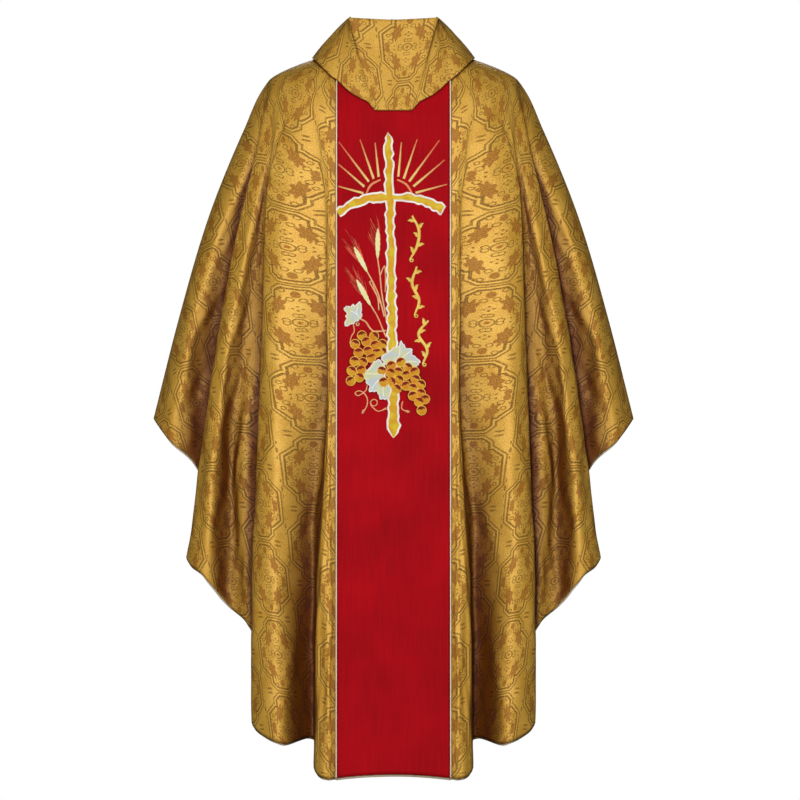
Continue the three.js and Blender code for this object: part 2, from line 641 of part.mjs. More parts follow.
function berryOutlines(centres) {
  return centres.map(([x, y]) =>
    Array.from({ length: berrySides }, (_, k) => {
      const turn = (2 * Math.PI * k) / berrySides;
      return [x + berryRadius * Math.cos(turn), y + berryRadius * Math.sin(turn)];
    })
  );
}
addJoined("grapes_left", berryOutlines(berriesLeft), grapeThread, 3);
addJoined("grapes_right", berryOutlines(berriesRight), grapeThread, 3);

// Stalk and tendrils.
const vineLine = [[-56, -458], [-44, -470], [-34, -477], [-24, -476]];
addFlat("vine_stalk", ribbon(vineLine, [2, 2.4, 2.4, 2], 6), stemThread, 0);
const tendrils = {
  left: [[-52, -580], [-64, -594], [-58, -606], [-48, -600], [-54, -590]],
  middle: [[-32, -592], [-34, -606], [-25, -612], [-15, -604]],
  right: [[12, -612], [22, -608], [32, -614], [42, -626]],
};
Object.entries(tendrils).forEach(([place, line]) => {
  addFlat(`tendril_${place}`, ribbon(line, [1.2, 2, 2, 1.2], 9), goldThread, 0);
});

// Three upright sprigs beside the cross, each a curved stroke.
const sprigs = [
  [[32, -274], [44, -300], [40, -328], [28, -350]],
  [[40, -362], [32, -392], [44, -420], [36, -446]],
  [[62, -456], [44, -476], [58, -500], [66, -516]],
];
sprigs.forEach((line, i) => addFlat(`sprig_${i + 1}`, ribbon(line, [2, 5, 5, 2], 8), goldThread, 0));

export default chasuble;
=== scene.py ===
"""A chasuble of gold damask with a red embroidered band, as it hangs on its wearer.

Metres, +Z up, the front faces -Y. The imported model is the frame: every piece here lies where its solid does.
"""

import logging
import math
from dataclasses import dataclass, field
from enum import Enum
from typing import Sequence

import bmesh
import bpy
import numpy as np
from bpy.types import Material, Node, NodeSocket, NodeTree, Object
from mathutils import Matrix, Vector


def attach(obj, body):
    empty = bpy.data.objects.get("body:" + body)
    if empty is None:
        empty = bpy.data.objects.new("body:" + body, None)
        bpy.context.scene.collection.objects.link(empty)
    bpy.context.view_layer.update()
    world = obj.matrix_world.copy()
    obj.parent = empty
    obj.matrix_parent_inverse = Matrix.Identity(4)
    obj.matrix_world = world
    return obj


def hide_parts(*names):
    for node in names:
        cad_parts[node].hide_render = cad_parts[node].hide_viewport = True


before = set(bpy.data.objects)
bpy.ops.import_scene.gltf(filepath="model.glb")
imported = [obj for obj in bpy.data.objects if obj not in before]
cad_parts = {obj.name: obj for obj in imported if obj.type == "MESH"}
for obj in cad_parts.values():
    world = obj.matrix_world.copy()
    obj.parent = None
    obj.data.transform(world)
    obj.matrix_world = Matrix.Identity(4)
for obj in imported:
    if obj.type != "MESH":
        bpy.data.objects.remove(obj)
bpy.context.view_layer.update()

LOG = logging.getLogger("chasuble")
MM = 0.001
CLOTH_UV = "Cloth"  # the layer with a cloth's flat coordinates

Point = tuple[float, float]
Place = tuple[float, float, float]
Color = tuple[float, float, float]
Paint = NodeSocket | Color
Array = np.ndarray
Line = Sequence[Point]
Grid = Array  # rows x columns x 3, in metres
Strand = Array  # points by 3: x and y on the band and height over it, in millimetres


# ------------------------------------------------------------------ node expressions
def set_inputs(node: Node, **values: object) -> Node:
    """Sets or links a node's inputs.

    Args:
        node: the node.
        values: numbers, colours or sockets by the input's name, with _ for each space.

    Returns:
        The same node.
    """
    for name, value in values.items():
        socket = node.inputs[name.replace("_", " ")]
        if isinstance(value, NodeSocket):
            node.id_data.links.new(value, socket)
        else:
            socket.default_value = value
    return node


def added(tree: NodeTree, kind: str, **values: object) -> Node:
    """Adds a node of a kind, with its inputs set or linked."""
    return set_inputs(tree.nodes.new(kind), **values)


class Field:
    """A number inside a node tree; arithmetic on it adds Math nodes."""

    def __init__(self, tree: NodeTree, socket: NodeSocket) -> None:
        """Keeps the tree and the socket that carries the number."""
        self.tree = tree
        self.socket = socket

    def math(self, operation: str, *others: "Field | float") -> "Field":
        """Adds one Math node.

        Args:
            operation: the Math node's operation.
            others: further operands.

        Returns:
            The node's result.
        """
        node = self.tree.nodes.new("ShaderNodeMath")
        node.operation = operation
        for slot, value in enumerate((self, *others)):
            if isinstance(value, Field):
                self.tree.links.new(value.socket, node.inputs[slot])
            else:
                node.inputs[slot].default_value = value
        return Field(self.tree, node.outputs[0])

    def __add__(self, other: "Field | float") -> "Field":
        """self + other"""
        return self.math("ADD", other)

    def __sub__(self, other: "Field | float") -> "Field":
        """self - other"""
        return self.math("SUBTRACT", other)

    def __mul__(self, other: "Field | float") -> "Field":
        """self * other"""
        return self.math("MULTIPLY", other)

    def __truediv__(self, other: "Field | float") -> "Field":
        """self / other"""
        return self.math("DIVIDE", other)

    def lowest(self, other: "Field | float") -> "Field":
        """The smaller of two numbers."""
        return self.math("MINIMUM", other)

    def highest(self, other: "Field | float") -> "Field":
        """The larger of two numbers."""
        return self.math("MAXIMUM", other)

    def size(self) -> "Field":
        """The number without its sign."""
        return self.math("ABSOLUTE")

    def within(self, edge: float, soft: float) -> "Field":
        """1 where the number is under edge, falling to 0 over a soft border.

        Args:
            edge: the number where the result is a half.
            soft: half the width of the border.

        Returns:
            A number from 0 to 1.
        """
        node = added(self.tree, "ShaderNodeMapRange", Value=self.socket, To_Min=1.0, To_Max=0.0)
        node.interpolation_type = "SMOOTHSTEP"
        set_inputs(node, From_Min=edge - soft, From_Max=edge + soft)
        return Field(self.tree, node.outputs[0])


def length(x: Field, y: Field) -> Field:
    """The length of a two-dimensional vector."""
    return (x * x + y * y).math("SQRT")


@dataclass(frozen=True)
class Finish:
    """A surface finish that becomes one material.

    Attributes:
        name: the material's name.
        color: base colour, linear.
        roughness: of the main reflection.
        metallic: share of metallic reflection.
        sheen: weight of the fibre sheen.
        specular: specular level.
        slot: the record's material slot, if it isn't the name.
    """

    name: str
    color: Color
    roughness: float
    metallic: float = 0.0
    sheen: float = 0.0
    specular: float = 0.5
    slot: str = ""

    def material(self) -> Material:
        """Builds the material.

        Returns:
            A material with this finish.
        """
        material = bpy.data.materials.new(self.name)
        material.use_nodes = True
        base = (*self.color, 1.0)
        shader = material.node_tree.nodes["Principled BSDF"]
        set_inputs(shader, Base_Color=base, Roughness=self.roughness, Metallic=self.metallic)
        set_inputs(shader, Sheen_Weight=self.sheen, Sheen_Roughness=0.4, Specular_IOR_Level=self.specular)
        material.diffuse_color = base
        self.dress(material.node_tree, shader)
        return material

    def dress(self, tree: NodeTree, shader: Node) -> None:
        """Adds a fine thread texture with a little colour variation."""
        place = object_place(tree)
        fine = noise(tree, 1400.0, place, 1.0)
        mixed = fine * 0.6 + noise(tree, 18.0, place) * 0.4
        light, dark = toned(self.color, 1.192), toned(self.color, 0.736)
        set_inputs(shader, Base_Color=blend(tree, mixed.within(0.5, 0.3), light, dark))
        raise_surface(tree, shader, fine, 0.0002)


def toned(color: Color, share: float) -> Color:
    """A colour times a share, with no part over 1."""
    return tuple(min(1.0, part * share) for part in color)


def object_place(tree: NodeTree) -> NodeSocket:
    """The Object coordinates."""
    return tree.nodes.new("ShaderNodeTexCoord").outputs["Object"]


def cloth_place(tree: NodeTree) -> NodeSocket:
    """A cloth's own flat coordinates."""
    node = tree.nodes.new("ShaderNodeUVMap")
    node.uv_map = CLOTH_UV
    return node.outputs["UV"]


def noise(tree: NodeTree, scale: float, source: NodeSocket, detail: float = 2.0) -> Field:
    """A smooth random number over the surface.

    Args:
        tree: the material's tree.
        scale: of the noise, in 1/m.
        source: the coordinates.
        detail: number of finer layers.

    Returns:
        A number around a half.
    """
    node = added(tree, "ShaderNodeTexNoise", Scale=scale, Detail=detail, Vector=source)
    return Field(tree, node.outputs["Fac"])


def blend(tree: NodeTree, factor: Field, first: Paint, second: Paint, mode: str = "MIX") -> NodeSocket:
    """Mixes two colours.

    Args:
        tree: the material's tree.
        factor: 0 gives the first colour and 1 the second.
        first: a colour or a socket.
        second: a colour or a socket.
        mode: the Mix node's blend type.

    Returns:
        The mixed colour's socket.
    """
    node = tree.nodes.new("ShaderNodeMix")
    node.data_type = "RGBA"
    node.blend_type = mode
    tree.links.new(factor.socket, node.inputs["Factor"])
    for name, value in (("A", first), ("B", second)):
        socket = next(s for s in node.inputs if s.name == name and s.type == "RGBA")
        if isinstance(value, tuple):
            socket.default_value = (*value, 1.0)
        else:
            tree.links.new(value, socket)
    return next(s for s in node.outputs if s.type == "RGBA")


def raise_surface(tree: NodeTree, shader: Node, height: Field, depth: float) -> None:
    """Turns a height in 0..1 into a bump of the given depth in metres."""
    bump = added(tree, "ShaderNodeBump", Distance=depth, Strength=1.0, Height=height.socket)
    set_inputs(shader, Normal=bump.outputs["Normal"])


def painted_crease_shade(tree: NodeTree, color: NodeSocket, shade_color: Color, reach: float, most: float) -> NodeSocket:
    """Paints shade into a cloth's colour: darker in its creases and under its overlaps, by ambient occlusion.

    Args:
        tree: the material's tree.
        color: the colour in the open.
        shade_color: the colour it is multiplied by where the painted shade is deepest.
        reach: how far away other cloth still darkens it, in metres.
        most: the strongest share of the shade colour.

    Returns:
        The colour's socket, with its painted shade.
    """
    # Painted shade: the ambient occlusion factor multiplies the colour towards the shade colour.
    shade = added(tree, "ShaderNodeAmbientOcclusion", Distance=reach)
    shade.samples = 8
    open_share = Field(tree, shade.outputs["AO"])
    return blend(tree, open_share.within(0.75, 0.22) * most, color, shade_color, "MULTIPLY")


@dataclass(frozen=True)
class Damask(Finish):
    """Gold damask: cartouches in a half-drop repeat, with lobed leaves, rings, dots and a rosette.

    Attributes:
        pitch: distance between two columns of cartouches.
        drop: distance between two cartouches of a column.
        line: colour of the woven outlines.
        leaf: colour of the solid figures.
        light: colour of the pale threads round the figures, and of the painted glints speckled over the
            ground.
    """

    pitch: float = 0.088
    drop: float = 0.127
    line: Color = (0.115, 0.034, 0.003)
    leaf: Color = (0.29, 0.085, 0.006)
    light: Color = (0.75, 0.45, 0.077)

    def dress(self, tree: NodeTree, shader: Node) -> None:
        """Draws the figure on the cloth's own flat coordinates, with painted glints over the ground and
        painted shade in its creases.
        """
        place = cloth_place(tree)
        split = added(tree, "ShaderNodeSeparateXYZ", Vector=place)
        wobble = noise(tree, 260.0, place, 1.0) - 0.5
        across = Field(tree, split.outputs[0]) + wobble * 0.0018
        down = Field(tree, split.outputs[1]) + wobble * 0.0016

        column = (across / self.pitch + 0.5).math("FLOOR")
        odd = (column * 0.5).math("FRACT") * 2.0
        x = (across - column * self.pitch).size()
        y = (((down / self.drop + odd * 0.5 + 0.5).math("FRACT") - 0.5) * self.drop).size()
        outline = self.cartouche(x, y)
        rim = outline.size().within(0.0014, 0.0005)
        second_rim = (outline - 0.0050).size().within(0.0011, 0.0005)
        inside = outline.within(-0.001, 0.0006)
        lines = rim.highest(second_rim * 0.85).highest(self.rings(x, y) * inside).highest(self.wedges(x, y))
        leaves = self.leaves(x, y) * inside
        halo = (outline - 0.0023).size().within(0.0009, 0.0006).highest(self.halos(x, y) * inside)

        # Fine noise: the metal threads' uneven tone and grain, also used for the painted glints on the ground.
        glint_and_grain = noise(tree, 700.0, place, 3.0)
        broad = noise(tree, 26.0, place)
        # Ground: the gold, speckled with painted glints in the light colour where the fine noise is high.
        ground = blend(tree, (glint_and_grain * 0.8 + broad * 0.2).within(0.5, 0.08), self.light, self.color)
        shaded = blend(tree, halo * 0.6, ground, self.light)
        speckle = glint_and_grain.within(0.56, 0.08) * 0.35 + 0.4
        woven = blend(tree, leaves * speckle, shaded, self.leaf)
        color = blend(tree, lines * speckle, woven, self.line)
        drawn = lines.highest(leaves)
        rough = drawn * 0.14 + (glint_and_grain - 0.5) * 0.45 + self.roughness
        # Painted shade: ambient occlusion darkens the damask's colour in the folds' creases and under
        # overlaps.
        color_with_painted_shade = painted_crease_shade(tree, color, (0.20, 0.088, 0.02), 0.17, 1.0)
        set_inputs(shader, Base_Color=color_with_painted_shade, Roughness=rough.highest(0.2).lowest(0.9).socket)
        threads = noise(tree, 1500.0, place, 1.0)
        raise_surface(tree, shader, drawn * -0.5 + glint_and_grain * 0.6 + threads * 0.5, 0.00035)

    def cartouche(self, x: Field, y: Field) -> Field:
        """The distance outside the cartouche's outline, in metres; x and y are mirrored into one quarter."""
        wide = (x - 0.0365).highest(y - 0.0375).highest((x + y) * 0.7071 - 0.0425)
        tall = (x - 0.0185).highest(y - 0.0565).highest((x + y) * 0.7071 - 0.0475)
        return wide.lowest(tall)

    def leaves(self, x: Field, y: Field) -> Field:
        """Four lobed leaves, a bud over them and the rosette's heart; 1 where they are solid."""
        lean_x, lean_y = x - 0.0165, y - 0.0265
        leaf_x = (lean_x * 0.96 + lean_y * 0.28) / 0.0080
        leaf_y = (lean_y * 0.96 - lean_x * 0.28) / 0.0170
        lobes = (leaf_x.math("ARCTAN2", leaf_y) * 7.0).math("COSINE") * 0.17
        leaf = (length(leaf_x, leaf_y) - lobes).within(0.82, 0.07)
        bud = length(x / 0.0042, (y - 0.0475) / 0.0055).within(1.0, 0.12)
        side_bud = length((x - 0.0305) / 0.0038, (y - 0.004) / 0.0052).within(1.0, 0.14)
        return leaf.highest(bud).highest(side_bud).highest(length(x, y).within(0.0024, 0.0005))

    def rings(self, x: Field, y: Field) -> Field:
        """Small rings, scrolls and dots between the leaves; 1 on their lines."""
        drawn = (length(x, y) - 0.0064).size().within(0.0008, 0.0004)
        for ring_x, ring_y, radius in (
            (0.0108, 0.0025, 0.0030),
            (0.0022, 0.0120, 0.0028),
            (0.0250, 0.0115, 0.0034),
            (0.0052, 0.0385, 0.0030),
            (0.0285, 0.0215, 0.0026),
            (0.0110, 0.0520, 0.0028),
        ):
            reach = length(x - ring_x, y - ring_y)
            drawn = drawn.highest((reach - radius).size().within(0.0006, 0.0003))
        dots = ((0.0, 0.0205), (0.0042, 0.0235), (0.0, 0.0272), (0.0195, 0.0035), (0.0338, 0.0145))
        for dot_x, dot_y in dots:
            drawn = drawn.highest(length(x - dot_x, y - dot_y).within(0.0013, 0.0004))
        return drawn * 0.9

    def halos(self, x: Field, y: Field) -> Field:
        """Light threads round the leaves and the rosette."""
        rosette = (length(x, y) - 0.0088).size().within(0.0012, 0.0006)
        cluster = (length(x / 0.75, y - 0.0238) - 0.0068).size().within(0.0008, 0.0005)
        return rosette.highest(cluster)

    def wedges(self, x: Field, y: Field) -> Field:
        """Short dark strokes in the bands between the cartouches."""
        level = (y - self.drop / 2 + 0.0035).size()
        stroke = length((x - 0.0285) / 3.2, level).within(0.0017, 0.0004)
        cross = length((x - self.pitch / 2) / 0.8, (y - self.drop / 4) / 2.4).within(0.0019, 0.0004)
        low = length((x - self.pitch / 2) / 1.0, (y - 0.0445) / 1.6).within(0.0017, 0.0004)
        return stroke.highest(cross).highest(low) * 0.85


@dataclass(frozen=True)
class Crepe(Finish):
    """Red woven crepe: matt, with a fine irregular grain and faint vertical streaks."""

    def dress(self, tree: NodeTree, shader: Node) -> None:
        """Adds the grain on the cloth's flat coordinates, and painted shade in its creases and under overlaps.
        """
        place = cloth_place(tree)
        stretch = added(tree, "ShaderNodeMapping", Vector=place, Scale=(1.0, 0.06, 1.0))
        streak = noise(tree, 240.0, stretch.outputs["Vector"])
        grain = noise(tree, 1100.0, place)
        mixed = grain * 0.45 + streak * 0.2 + noise(tree, 9.0, place) * 0.35
        color = blend(tree, mixed.within(0.5, 0.16), toned(self.color, 1.18), toned(self.color, 0.72))
        # Painted shade: a short ambient-occlusion reach darkens creases and the cloth just under overlapping
        # edges.
        set_inputs(shader, Base_Color=painted_crease_shade(tree, color, (0.3, 0.2, 0.2), 0.04, 0.9))
        raise_surface(tree, shader, grain * 0.7 + streak * 0.3, 0.0002)


@dataclass(frozen=True)
class Thread(Finish):
    """Embroidery thread: glossy, with fine strands and a slow drift between two tones.

    Attributes:
        second: the other tone.
        drift: how often the tone changes, in 1/m.
    """

    second: Color = (1.0, 1.0, 1.0)
    drift: float = 60.0
    specular: float = 0.28

    def dress(self, tree: NodeTree, shader: Node) -> None:
        """Mixes the two tones over the surface."""
        place = object_place(tree)
        fine = noise(tree, 1800.0, place, 1.0)
        mixed = noise(tree, self.drift, place) * 0.8 + fine * 0.2
        set_inputs(shader, Base_Color=blend(tree, mixed.within(0.5, 0.12), self.color, self.second))
        raise_surface(tree, shader, fine, 0.00015)


@dataclass(frozen=True)
class RayThread(Finish):
    """Thread whose colour runs from pale gold near the sun to salmon at the tips.

    Attributes:
        centre: the sun's centre, as x and z.
        near: radius where it is pale.
        far: radius where it is salmon.
        tip: colour at the tips.
    """

    centre: Point = (0.0, 0.0)
    near: float = 0.045
    far: float = 0.12
    tip: Color = (0.8, 0.16, 0.07)

    def dress(self, tree: NodeTree, shader: Node) -> None:
        """Mixes the two colours by the distance from the sun's centre."""
        place = object_place(tree)
        split = added(tree, "ShaderNodeSeparateXYZ", Vector=place)
        x = Field(tree, split.outputs[0]) - self.centre[0]
        z = Field(tree, split.outputs[2]) - self.centre[1]
        near = length(x, z).within((self.near + self.far) / 2, (self.far - self.near) / 2)
        set_inputs(shader, Base_Color=blend(tree, near, self.tip, self.color))
        raise_surface(tree, shader, noise(tree, 1800.0, place, 1.0), 0.00015)


class Finishes:
    """Every finish of the vestment, built once."""

    def __init__(self, sun: Point) -> None:
        """Builds the materials; sun is the centre that the rays fade from."""
        gold, grape, stem = "gold_thread", "grape_thread", "stem_thread"
        self.finishes: dict[str, Finish] = {
            "damask": Damask("gold_damask", (0.54, 0.262, 0.021), 0.54, metallic=0.2, specular=0.3),
            "crepe": Crepe("red_crepe", (0.395, 0.0016, 0.006), 0.8, sheen=0.01, specular=0.08),
            "lining": Crepe("cream_lining", (0.80, 0.66, 0.46), 0.6, sheen=0.1),
            "piping": Finish("piping", (0.88, 0.66, 0.46), 0.5, sheen=0.1),
            "canvas": Crepe("interfacing_canvas", (0.75, 0.70, 0.58), 0.9),
            "white": Thread("white_thread", (0.98, 0.92, 0.86), 0.45, second=(0.94, 0.86, 0.84)),
            "gold": Thread(gold, (0.80, 0.60, 0.03), 0.35, second=(0.78, 0.42, 0.012)),
            "stroke": Thread("stroke_thread", (0.93, 0.74, 0.18), 0.35, slot=gold, second=(0.90, 0.62, 0.12)),
            "ray": RayThread("ray_thread", (0.92, 0.66, 0.24), 0.4, slot=gold, centre=sun),
            "arc": Thread("arc_thread", (0.90, 0.36, 0.16), 0.4, slot=gold, second=(0.86, 0.30, 0.13)),
            "wheat": Thread("wheat_thread", (0.82, 0.74, 0.30), 0.4, second=(0.84, 0.80, 0.46)),
            "awn": Thread("awn_thread", (0.86, 0.13, 0.06), 0.45, slot=stem, second=(0.80, 0.08, 0.04)),
            "stem": Thread(stem, (0.90, 0.52, 0.27), 0.4, second=(0.88, 0.38, 0.17)),
            "grape": Thread(grape, (0.78, 0.42, 0.014), 0.35, second=(0.74, 0.29, 0.008)),
            "shade": Thread("grape_shade", (0.17, 0.004, 0.002), 0.7, slot=grape, second=(0.22, 0.009, 0.003)),
            "rope": Thread("grape_outline", (0.92, 0.58, 0.09), 0.35, slot=grape, second=(0.90, 0.46, 0.07)),
            "leaf": Thread("leaf_thread", (0.58, 0.64, 0.66), 0.45, second=(0.70, 0.70, 0.36)),
        }
        self.materials = {key: finish.material() for key, finish in self.finishes.items()}

    def slot_of(self, key: str) -> str:
        """The record's slot of a finish."""
        return self.finishes[key].slot or self.finishes[key].name


# ------------------------------------------------------------------ the draped surface
@dataclass(frozen=True)
class FoldLine:
    """A line of the cloth from the neckline to the hem.

    Attributes:
        across: at chest, waist, knee and hem, 0 at the band's edge and 1 at the lowest side corner.
        depth: at the same levels, 0 at the shoulder plane and 1 at the front of the band.
        hem: where the line ends, 0 at the side's drop and 1 at the face's length.
    """

    across: tuple[float, float, float, float]
    depth: tuple[float, float, float, float]
    hem: float


FOLD_LINES: tuple[FoldLine, ...] = (
    FoldLine((0, 0, 0, 0), (1, 1, 1, 1), 1),
    FoldLine((0.03, 0.03, 0.035, 0.038), (1, 1.01, 1.03, 1.03), 1.002),
    FoldLine((0.047, 0.04, 0.092, 0.104), (0.98, 0.98, 0.98, 0.95), 0.9899),
    FoldLine((0.06, 0.05, 0.127, 0.123), (0.96, 0.88, 0.72, 0.62), 0.8933),
    FoldLine((0.272, 0.335, 0.335, 0.291), (0.93, 0.95, 0.95, 0.93), 0.9054),
    FoldLine((0.377, 0.41, 0.446, 0.459), (0.8, 0.78, 0.76, 0.74), 0.849),
    FoldLine((0.345, 0.295, 0.32, 0.34), (0.76, 0.62, 0.52, 0.46), 0.7141),
    FoldLine((0.362, 0.405, 0.497, 0.481), (0.74, 0.62, 0.58, 0.56), 0.5753),
    FoldLine((0.37, 0.467, 0.566, 0.576), (0.7, 0.58, 0.5, 0.46), 0.5269),
    FoldLine((0.395, 0.538, 0.649, 0.718), (0.68, 0.68, 0.66, 0.64), 0.4404),
    FoldLine((0.443, 0.595, 0.712, 0.816), (0.58, 0.5, 0.46, 0.42), 0.3901),
    FoldLine((0.42, 0.52, 0.61, 0.67), (0.54, 0.34, 0.24, 0.18), 0.2491),
    FoldLine((0.415, 0.555, 0.7, 0.769), (0.5, 0.34, 0.28, 0.24), 0.1263),
    FoldLine((0.45, 0.64, 0.8, 0.908), (0.42, 0.4, 0.38, 0.34), 0.0619),
    FoldLine((0.509, 0.706, 0.861, 1), (0, 0, 0, 0), 0),
)
RIDGE = len(FOLD_LINES)
LEVELS = np.array([0, 0.06, 0.12, 0.28, 0.5, 0.75, 1])  # neck, collar edge, shoulder, chest, waist, knee, hem
DROP_SHARE = (0.2, 0.45, 0.72, 1.0)


@dataclass(frozen=True)
class Cut:
    """The vestment's driving sizes, in metres."""

    half_span: float = 414 * MM
    side_drop: float = 622 * MM
    half_band: float = 98 * MM
    neck_half: float = 88 * MM
    neck_side: float = 12 * MM
    collar_spread: float = 138.5 * MM
    shoulder_x: float = 215 * MM
    shoulder_z: float = -38 * MM
    flap_drop: float = 89 * MM
    arch: float = 6 * MM
    cloth: float = 2 * MM
    lining: float = 1 * MM
    gap: float = 0.3 * MM
    piping: float = 1.2 * MM
    facing: float = 0.6 * MM

    @property
    def seam(self) -> float:
        """Half the distance between the band and the panel beside it."""
        return self.piping + self.gap


CUT = Cut()


class Side(Enum):
    """Front or back, by the sign of Y that it faces."""

    FRONT = -1
    BACK = 1


@dataclass(frozen=True)
class Face:
    """What differs between the front and the back, in metres.

    Attributes:
        side: which of the two it is.
        length: neck point to hem.
        neck_depth: neckline, forward of the shoulder plane.
        neck_middle: the neckline's height at the centre.
        edge_middle: depth and height of the collar's edge at the centre.
        edge_band: the same at the band's edge.
        shoulder_middle: height of the shoulder level at the centre.
        shoulder_band: the same at the band's edge.
        chest: depth at the height of the collar's flap.
        slope: how much the band leans out for each metre down.
    """

    side: Side
    length: float
    neck_depth: float
    neck_middle: float
    edge_middle: Point
    edge_band: Point
    shoulder_middle: float
    shoulder_band: float
    chest: float
    slope: float

    def depth_at(self, z: Array) -> Array:
        """The band's depth at height z."""
        return self.chest - self.slope * (z + CUT.flap_drop)


FRONT = Face(
    Side.FRONT, 1.236, 0.080, -0.048, (0.104, -0.090), (0.078, -0.041), -0.128, -0.113, 0.104, 0.0776
)
BACK = Face(
    Side.BACK, 1.236, 0.070, 0.002, (0.095, -0.034), (0.068, -0.020), -0.110, -0.100, 0.098, 0.066
)


def through_levels(values: Array, t: Array) -> Array:
    """A smooth curve through values at the levels that never overshoots them.

    Args:
        values: one value for each level.
        t: where to read the curve, 0 at the neck and 1 at the hem.

    Returns:
        The curve's values.
    """
    widths = np.diff(LEVELS)
    slopes = np.diff(values) / widths
    tangents = np.empty(len(values))
    tangents[0], tangents[-1] = slopes[0], slopes[-1]
    product = slopes[:-1] * slopes[1:]
    total = slopes[:-1] + slopes[1:]
    tangents[1:-1] = np.where(product > 0, 2 * product / np.where(total == 0, 1, total), 0)
    i = np.clip(np.searchsorted(LEVELS, t, side="left") - 1, 0, len(widths) - 1)
    f = (t - LEVELS[i]) / widths[i]
    start = (1 + 2 * f) * (1 - f) ** 2 * values[i] + f * (1 - f) ** 2 * widths[i] * tangents[i]
    end = f * f * (3 - 2 * f) * values[i + 1] + f * f * (f - 1) * widths[i] * tangents[i + 1]
    return start + end


def mix(a: float, b: float, f: float) -> float:
    """a at f 0, b at f 1."""
    return a + (b - a) * f


def line_points(face: Face, s: float) -> Array:
    """One line's x, depth and z at the seven levels.

    Args:
        face: front or back.
        s: 0 at the centre, 1 at the band's edge, then one for each fold line.

    Returns:
        An array of 7 by 3.
    """
    out = max(0.0, (s - 1) / (RIDGE - 1))
    band = min(1.0, s)
    turn = out * math.pi / 2
    angle = math.radians(band * 60 + out * 30)
    neck_z = mix(CUT.neck_side, face.neck_middle, math.cos(angle) ** 2)
    points = [(CUT.neck_half * math.sin(angle), face.neck_depth * math.cos(angle), neck_z)]

    edge_depth = mix(face.edge_middle[0], face.edge_band[0], band**2) * math.cos(turn)
    edge_x = CUT.half_band * band + (CUT.collar_spread - CUT.half_band) * math.sin(turn)
    edge_z = mix(mix(face.edge_middle[1], face.edge_band[1], band**2), -MM, math.sin(turn))
    points.append((edge_x, edge_depth, edge_z))

    band_z = mix(face.shoulder_middle, face.shoulder_band, band**2)
    shoulder_x = CUT.half_band * band + (CUT.shoulder_x - CUT.half_band) * math.sin(turn)
    shoulder_z = mix(band_z, CUT.shoulder_z, math.sin(turn))
    points.append((shoulder_x, face.depth_at(band_z) * math.cos(turn), shoulder_z))

    line = FOLD_LINES[max(0, round(s) - 1)] if s >= 1 else FOLD_LINES[0]
    hem_z = -mix(CUT.side_drop, face.length, line.hem) + (CUT.arch * (1 - band**2) if band < 1 else 0.0)
    for share, across, depth in zip(DROP_SHARE, line.across, line.depth):
        z = mix(edge_z, hem_z, share)
        x = CUT.half_band * band if s < 1 else mix(CUT.half_band, CUT.half_span, across)
        points.append((x, depth * face.depth_at(z), z))
    return np.array(points)


class Drape:
    """The outer face of the cloth on one side of the body, as a function of line and level."""

    def __init__(self, face: Face) -> None:
        """Keeps the face."""
        self.face = face
        self.sign = face.side.value
        self.clear = CUT.gap / 2

    def on_line(self, s: float, t: Array) -> Array:
        """Points of one line at levels t."""
        points = line_points(self.face, s)
        x, depth, z = (through_levels(points[:, k], t) for k in range(3))
        if s <= 1:
            depth = np.where(t >= LEVELS[2], self.face.depth_at(z), depth)
        return np.stack([x, self.sign * np.maximum(self.clear, depth), z], axis=1)

    def band(self, columns: Array, t: Array) -> Grid:
        """A grid over half the band: columns are shares from the centre to the band's edge."""
        rows = np.stack([self.on_line(float(s), t) for s in columns], axis=1)
        rows[:, :, 0] *= (CUT.half_band - CUT.seam) / CUT.half_band
        return rows

    def side(self, columns: Array, t: Array) -> Grid:
        """A grid over the cloth beside the band: columns run from 1 to the ridge."""
        lines = [self.on_line(float(k), t) for k in range(1, RIDGE + 1)]
        beyond = lines[-2].copy()
        beyond[:, 1] = 2 * self.sign * self.clear - beyond[:, 1]
        lines.append(beyond)
        first = 2 * lines[0] - lines[1]
        last = 2 * lines[-1] - lines[-2]
        points = np.stack([first, *lines, last])
        grid = np.empty((len(t), len(columns), 3))
        for c, s in enumerate(columns):
            k = min(int(s - 1), RIDGE - 1)
            grid[:, c] = catmull_rom(points[k : k + 4], float(s - 1 - k))
        grid[:, :, 0] += CUT.seam
        return grid


def catmull_rom(points: Array, f: float) -> Array:
    """A centripetal curve between the middle two of four rows of points.

    Args:
        points: 4 by rows by 3.
        f: 0 at the second, 1 at the third.

    Returns:
        Rows by 3.
    """
    p0, p1, p2, p3 = points
    gaps = [np.sqrt(np.linalg.norm(b - a, axis=1, keepdims=True)) for a, b in ((p0, p1), (p1, p2), (p2, p3))]
    d0, d1, d2 = (np.maximum(g, 1e-6) for g in gaps)
    start = ((p1 - p0) / d0 - (p2 - p0) / (d0 + d1) + (p2 - p1) / d1) * d1
    end = ((p2 - p1) / d1 - (p3 - p1) / (d1 + d2) + (p3 - p2) / d2) * d1
    c2 = -3 * p1 + 3 * p2 - 2 * start - end
    c3 = 2 * p1 - 2 * p2 + start + end
    return p1 + start * f + c2 * f**2 + c3 * f**3


# ------------------------------------------------------------------ grids and shells
def grid_normals(grid: Grid, ring: bool = False) -> Grid:
    """Unit normals of a grid, along the columns' direction crossed with the rows'."""
    down = np.gradient(grid, axis=0)
    if ring:
        along = np.roll(grid, -1, axis=1) - np.roll(grid, 1, axis=1)
    else:
        along = np.gradient(grid, axis=1)
    normals = np.cross(along, down)
    return normals / np.maximum(np.linalg.norm(normals, axis=2, keepdims=True), 1e-12)


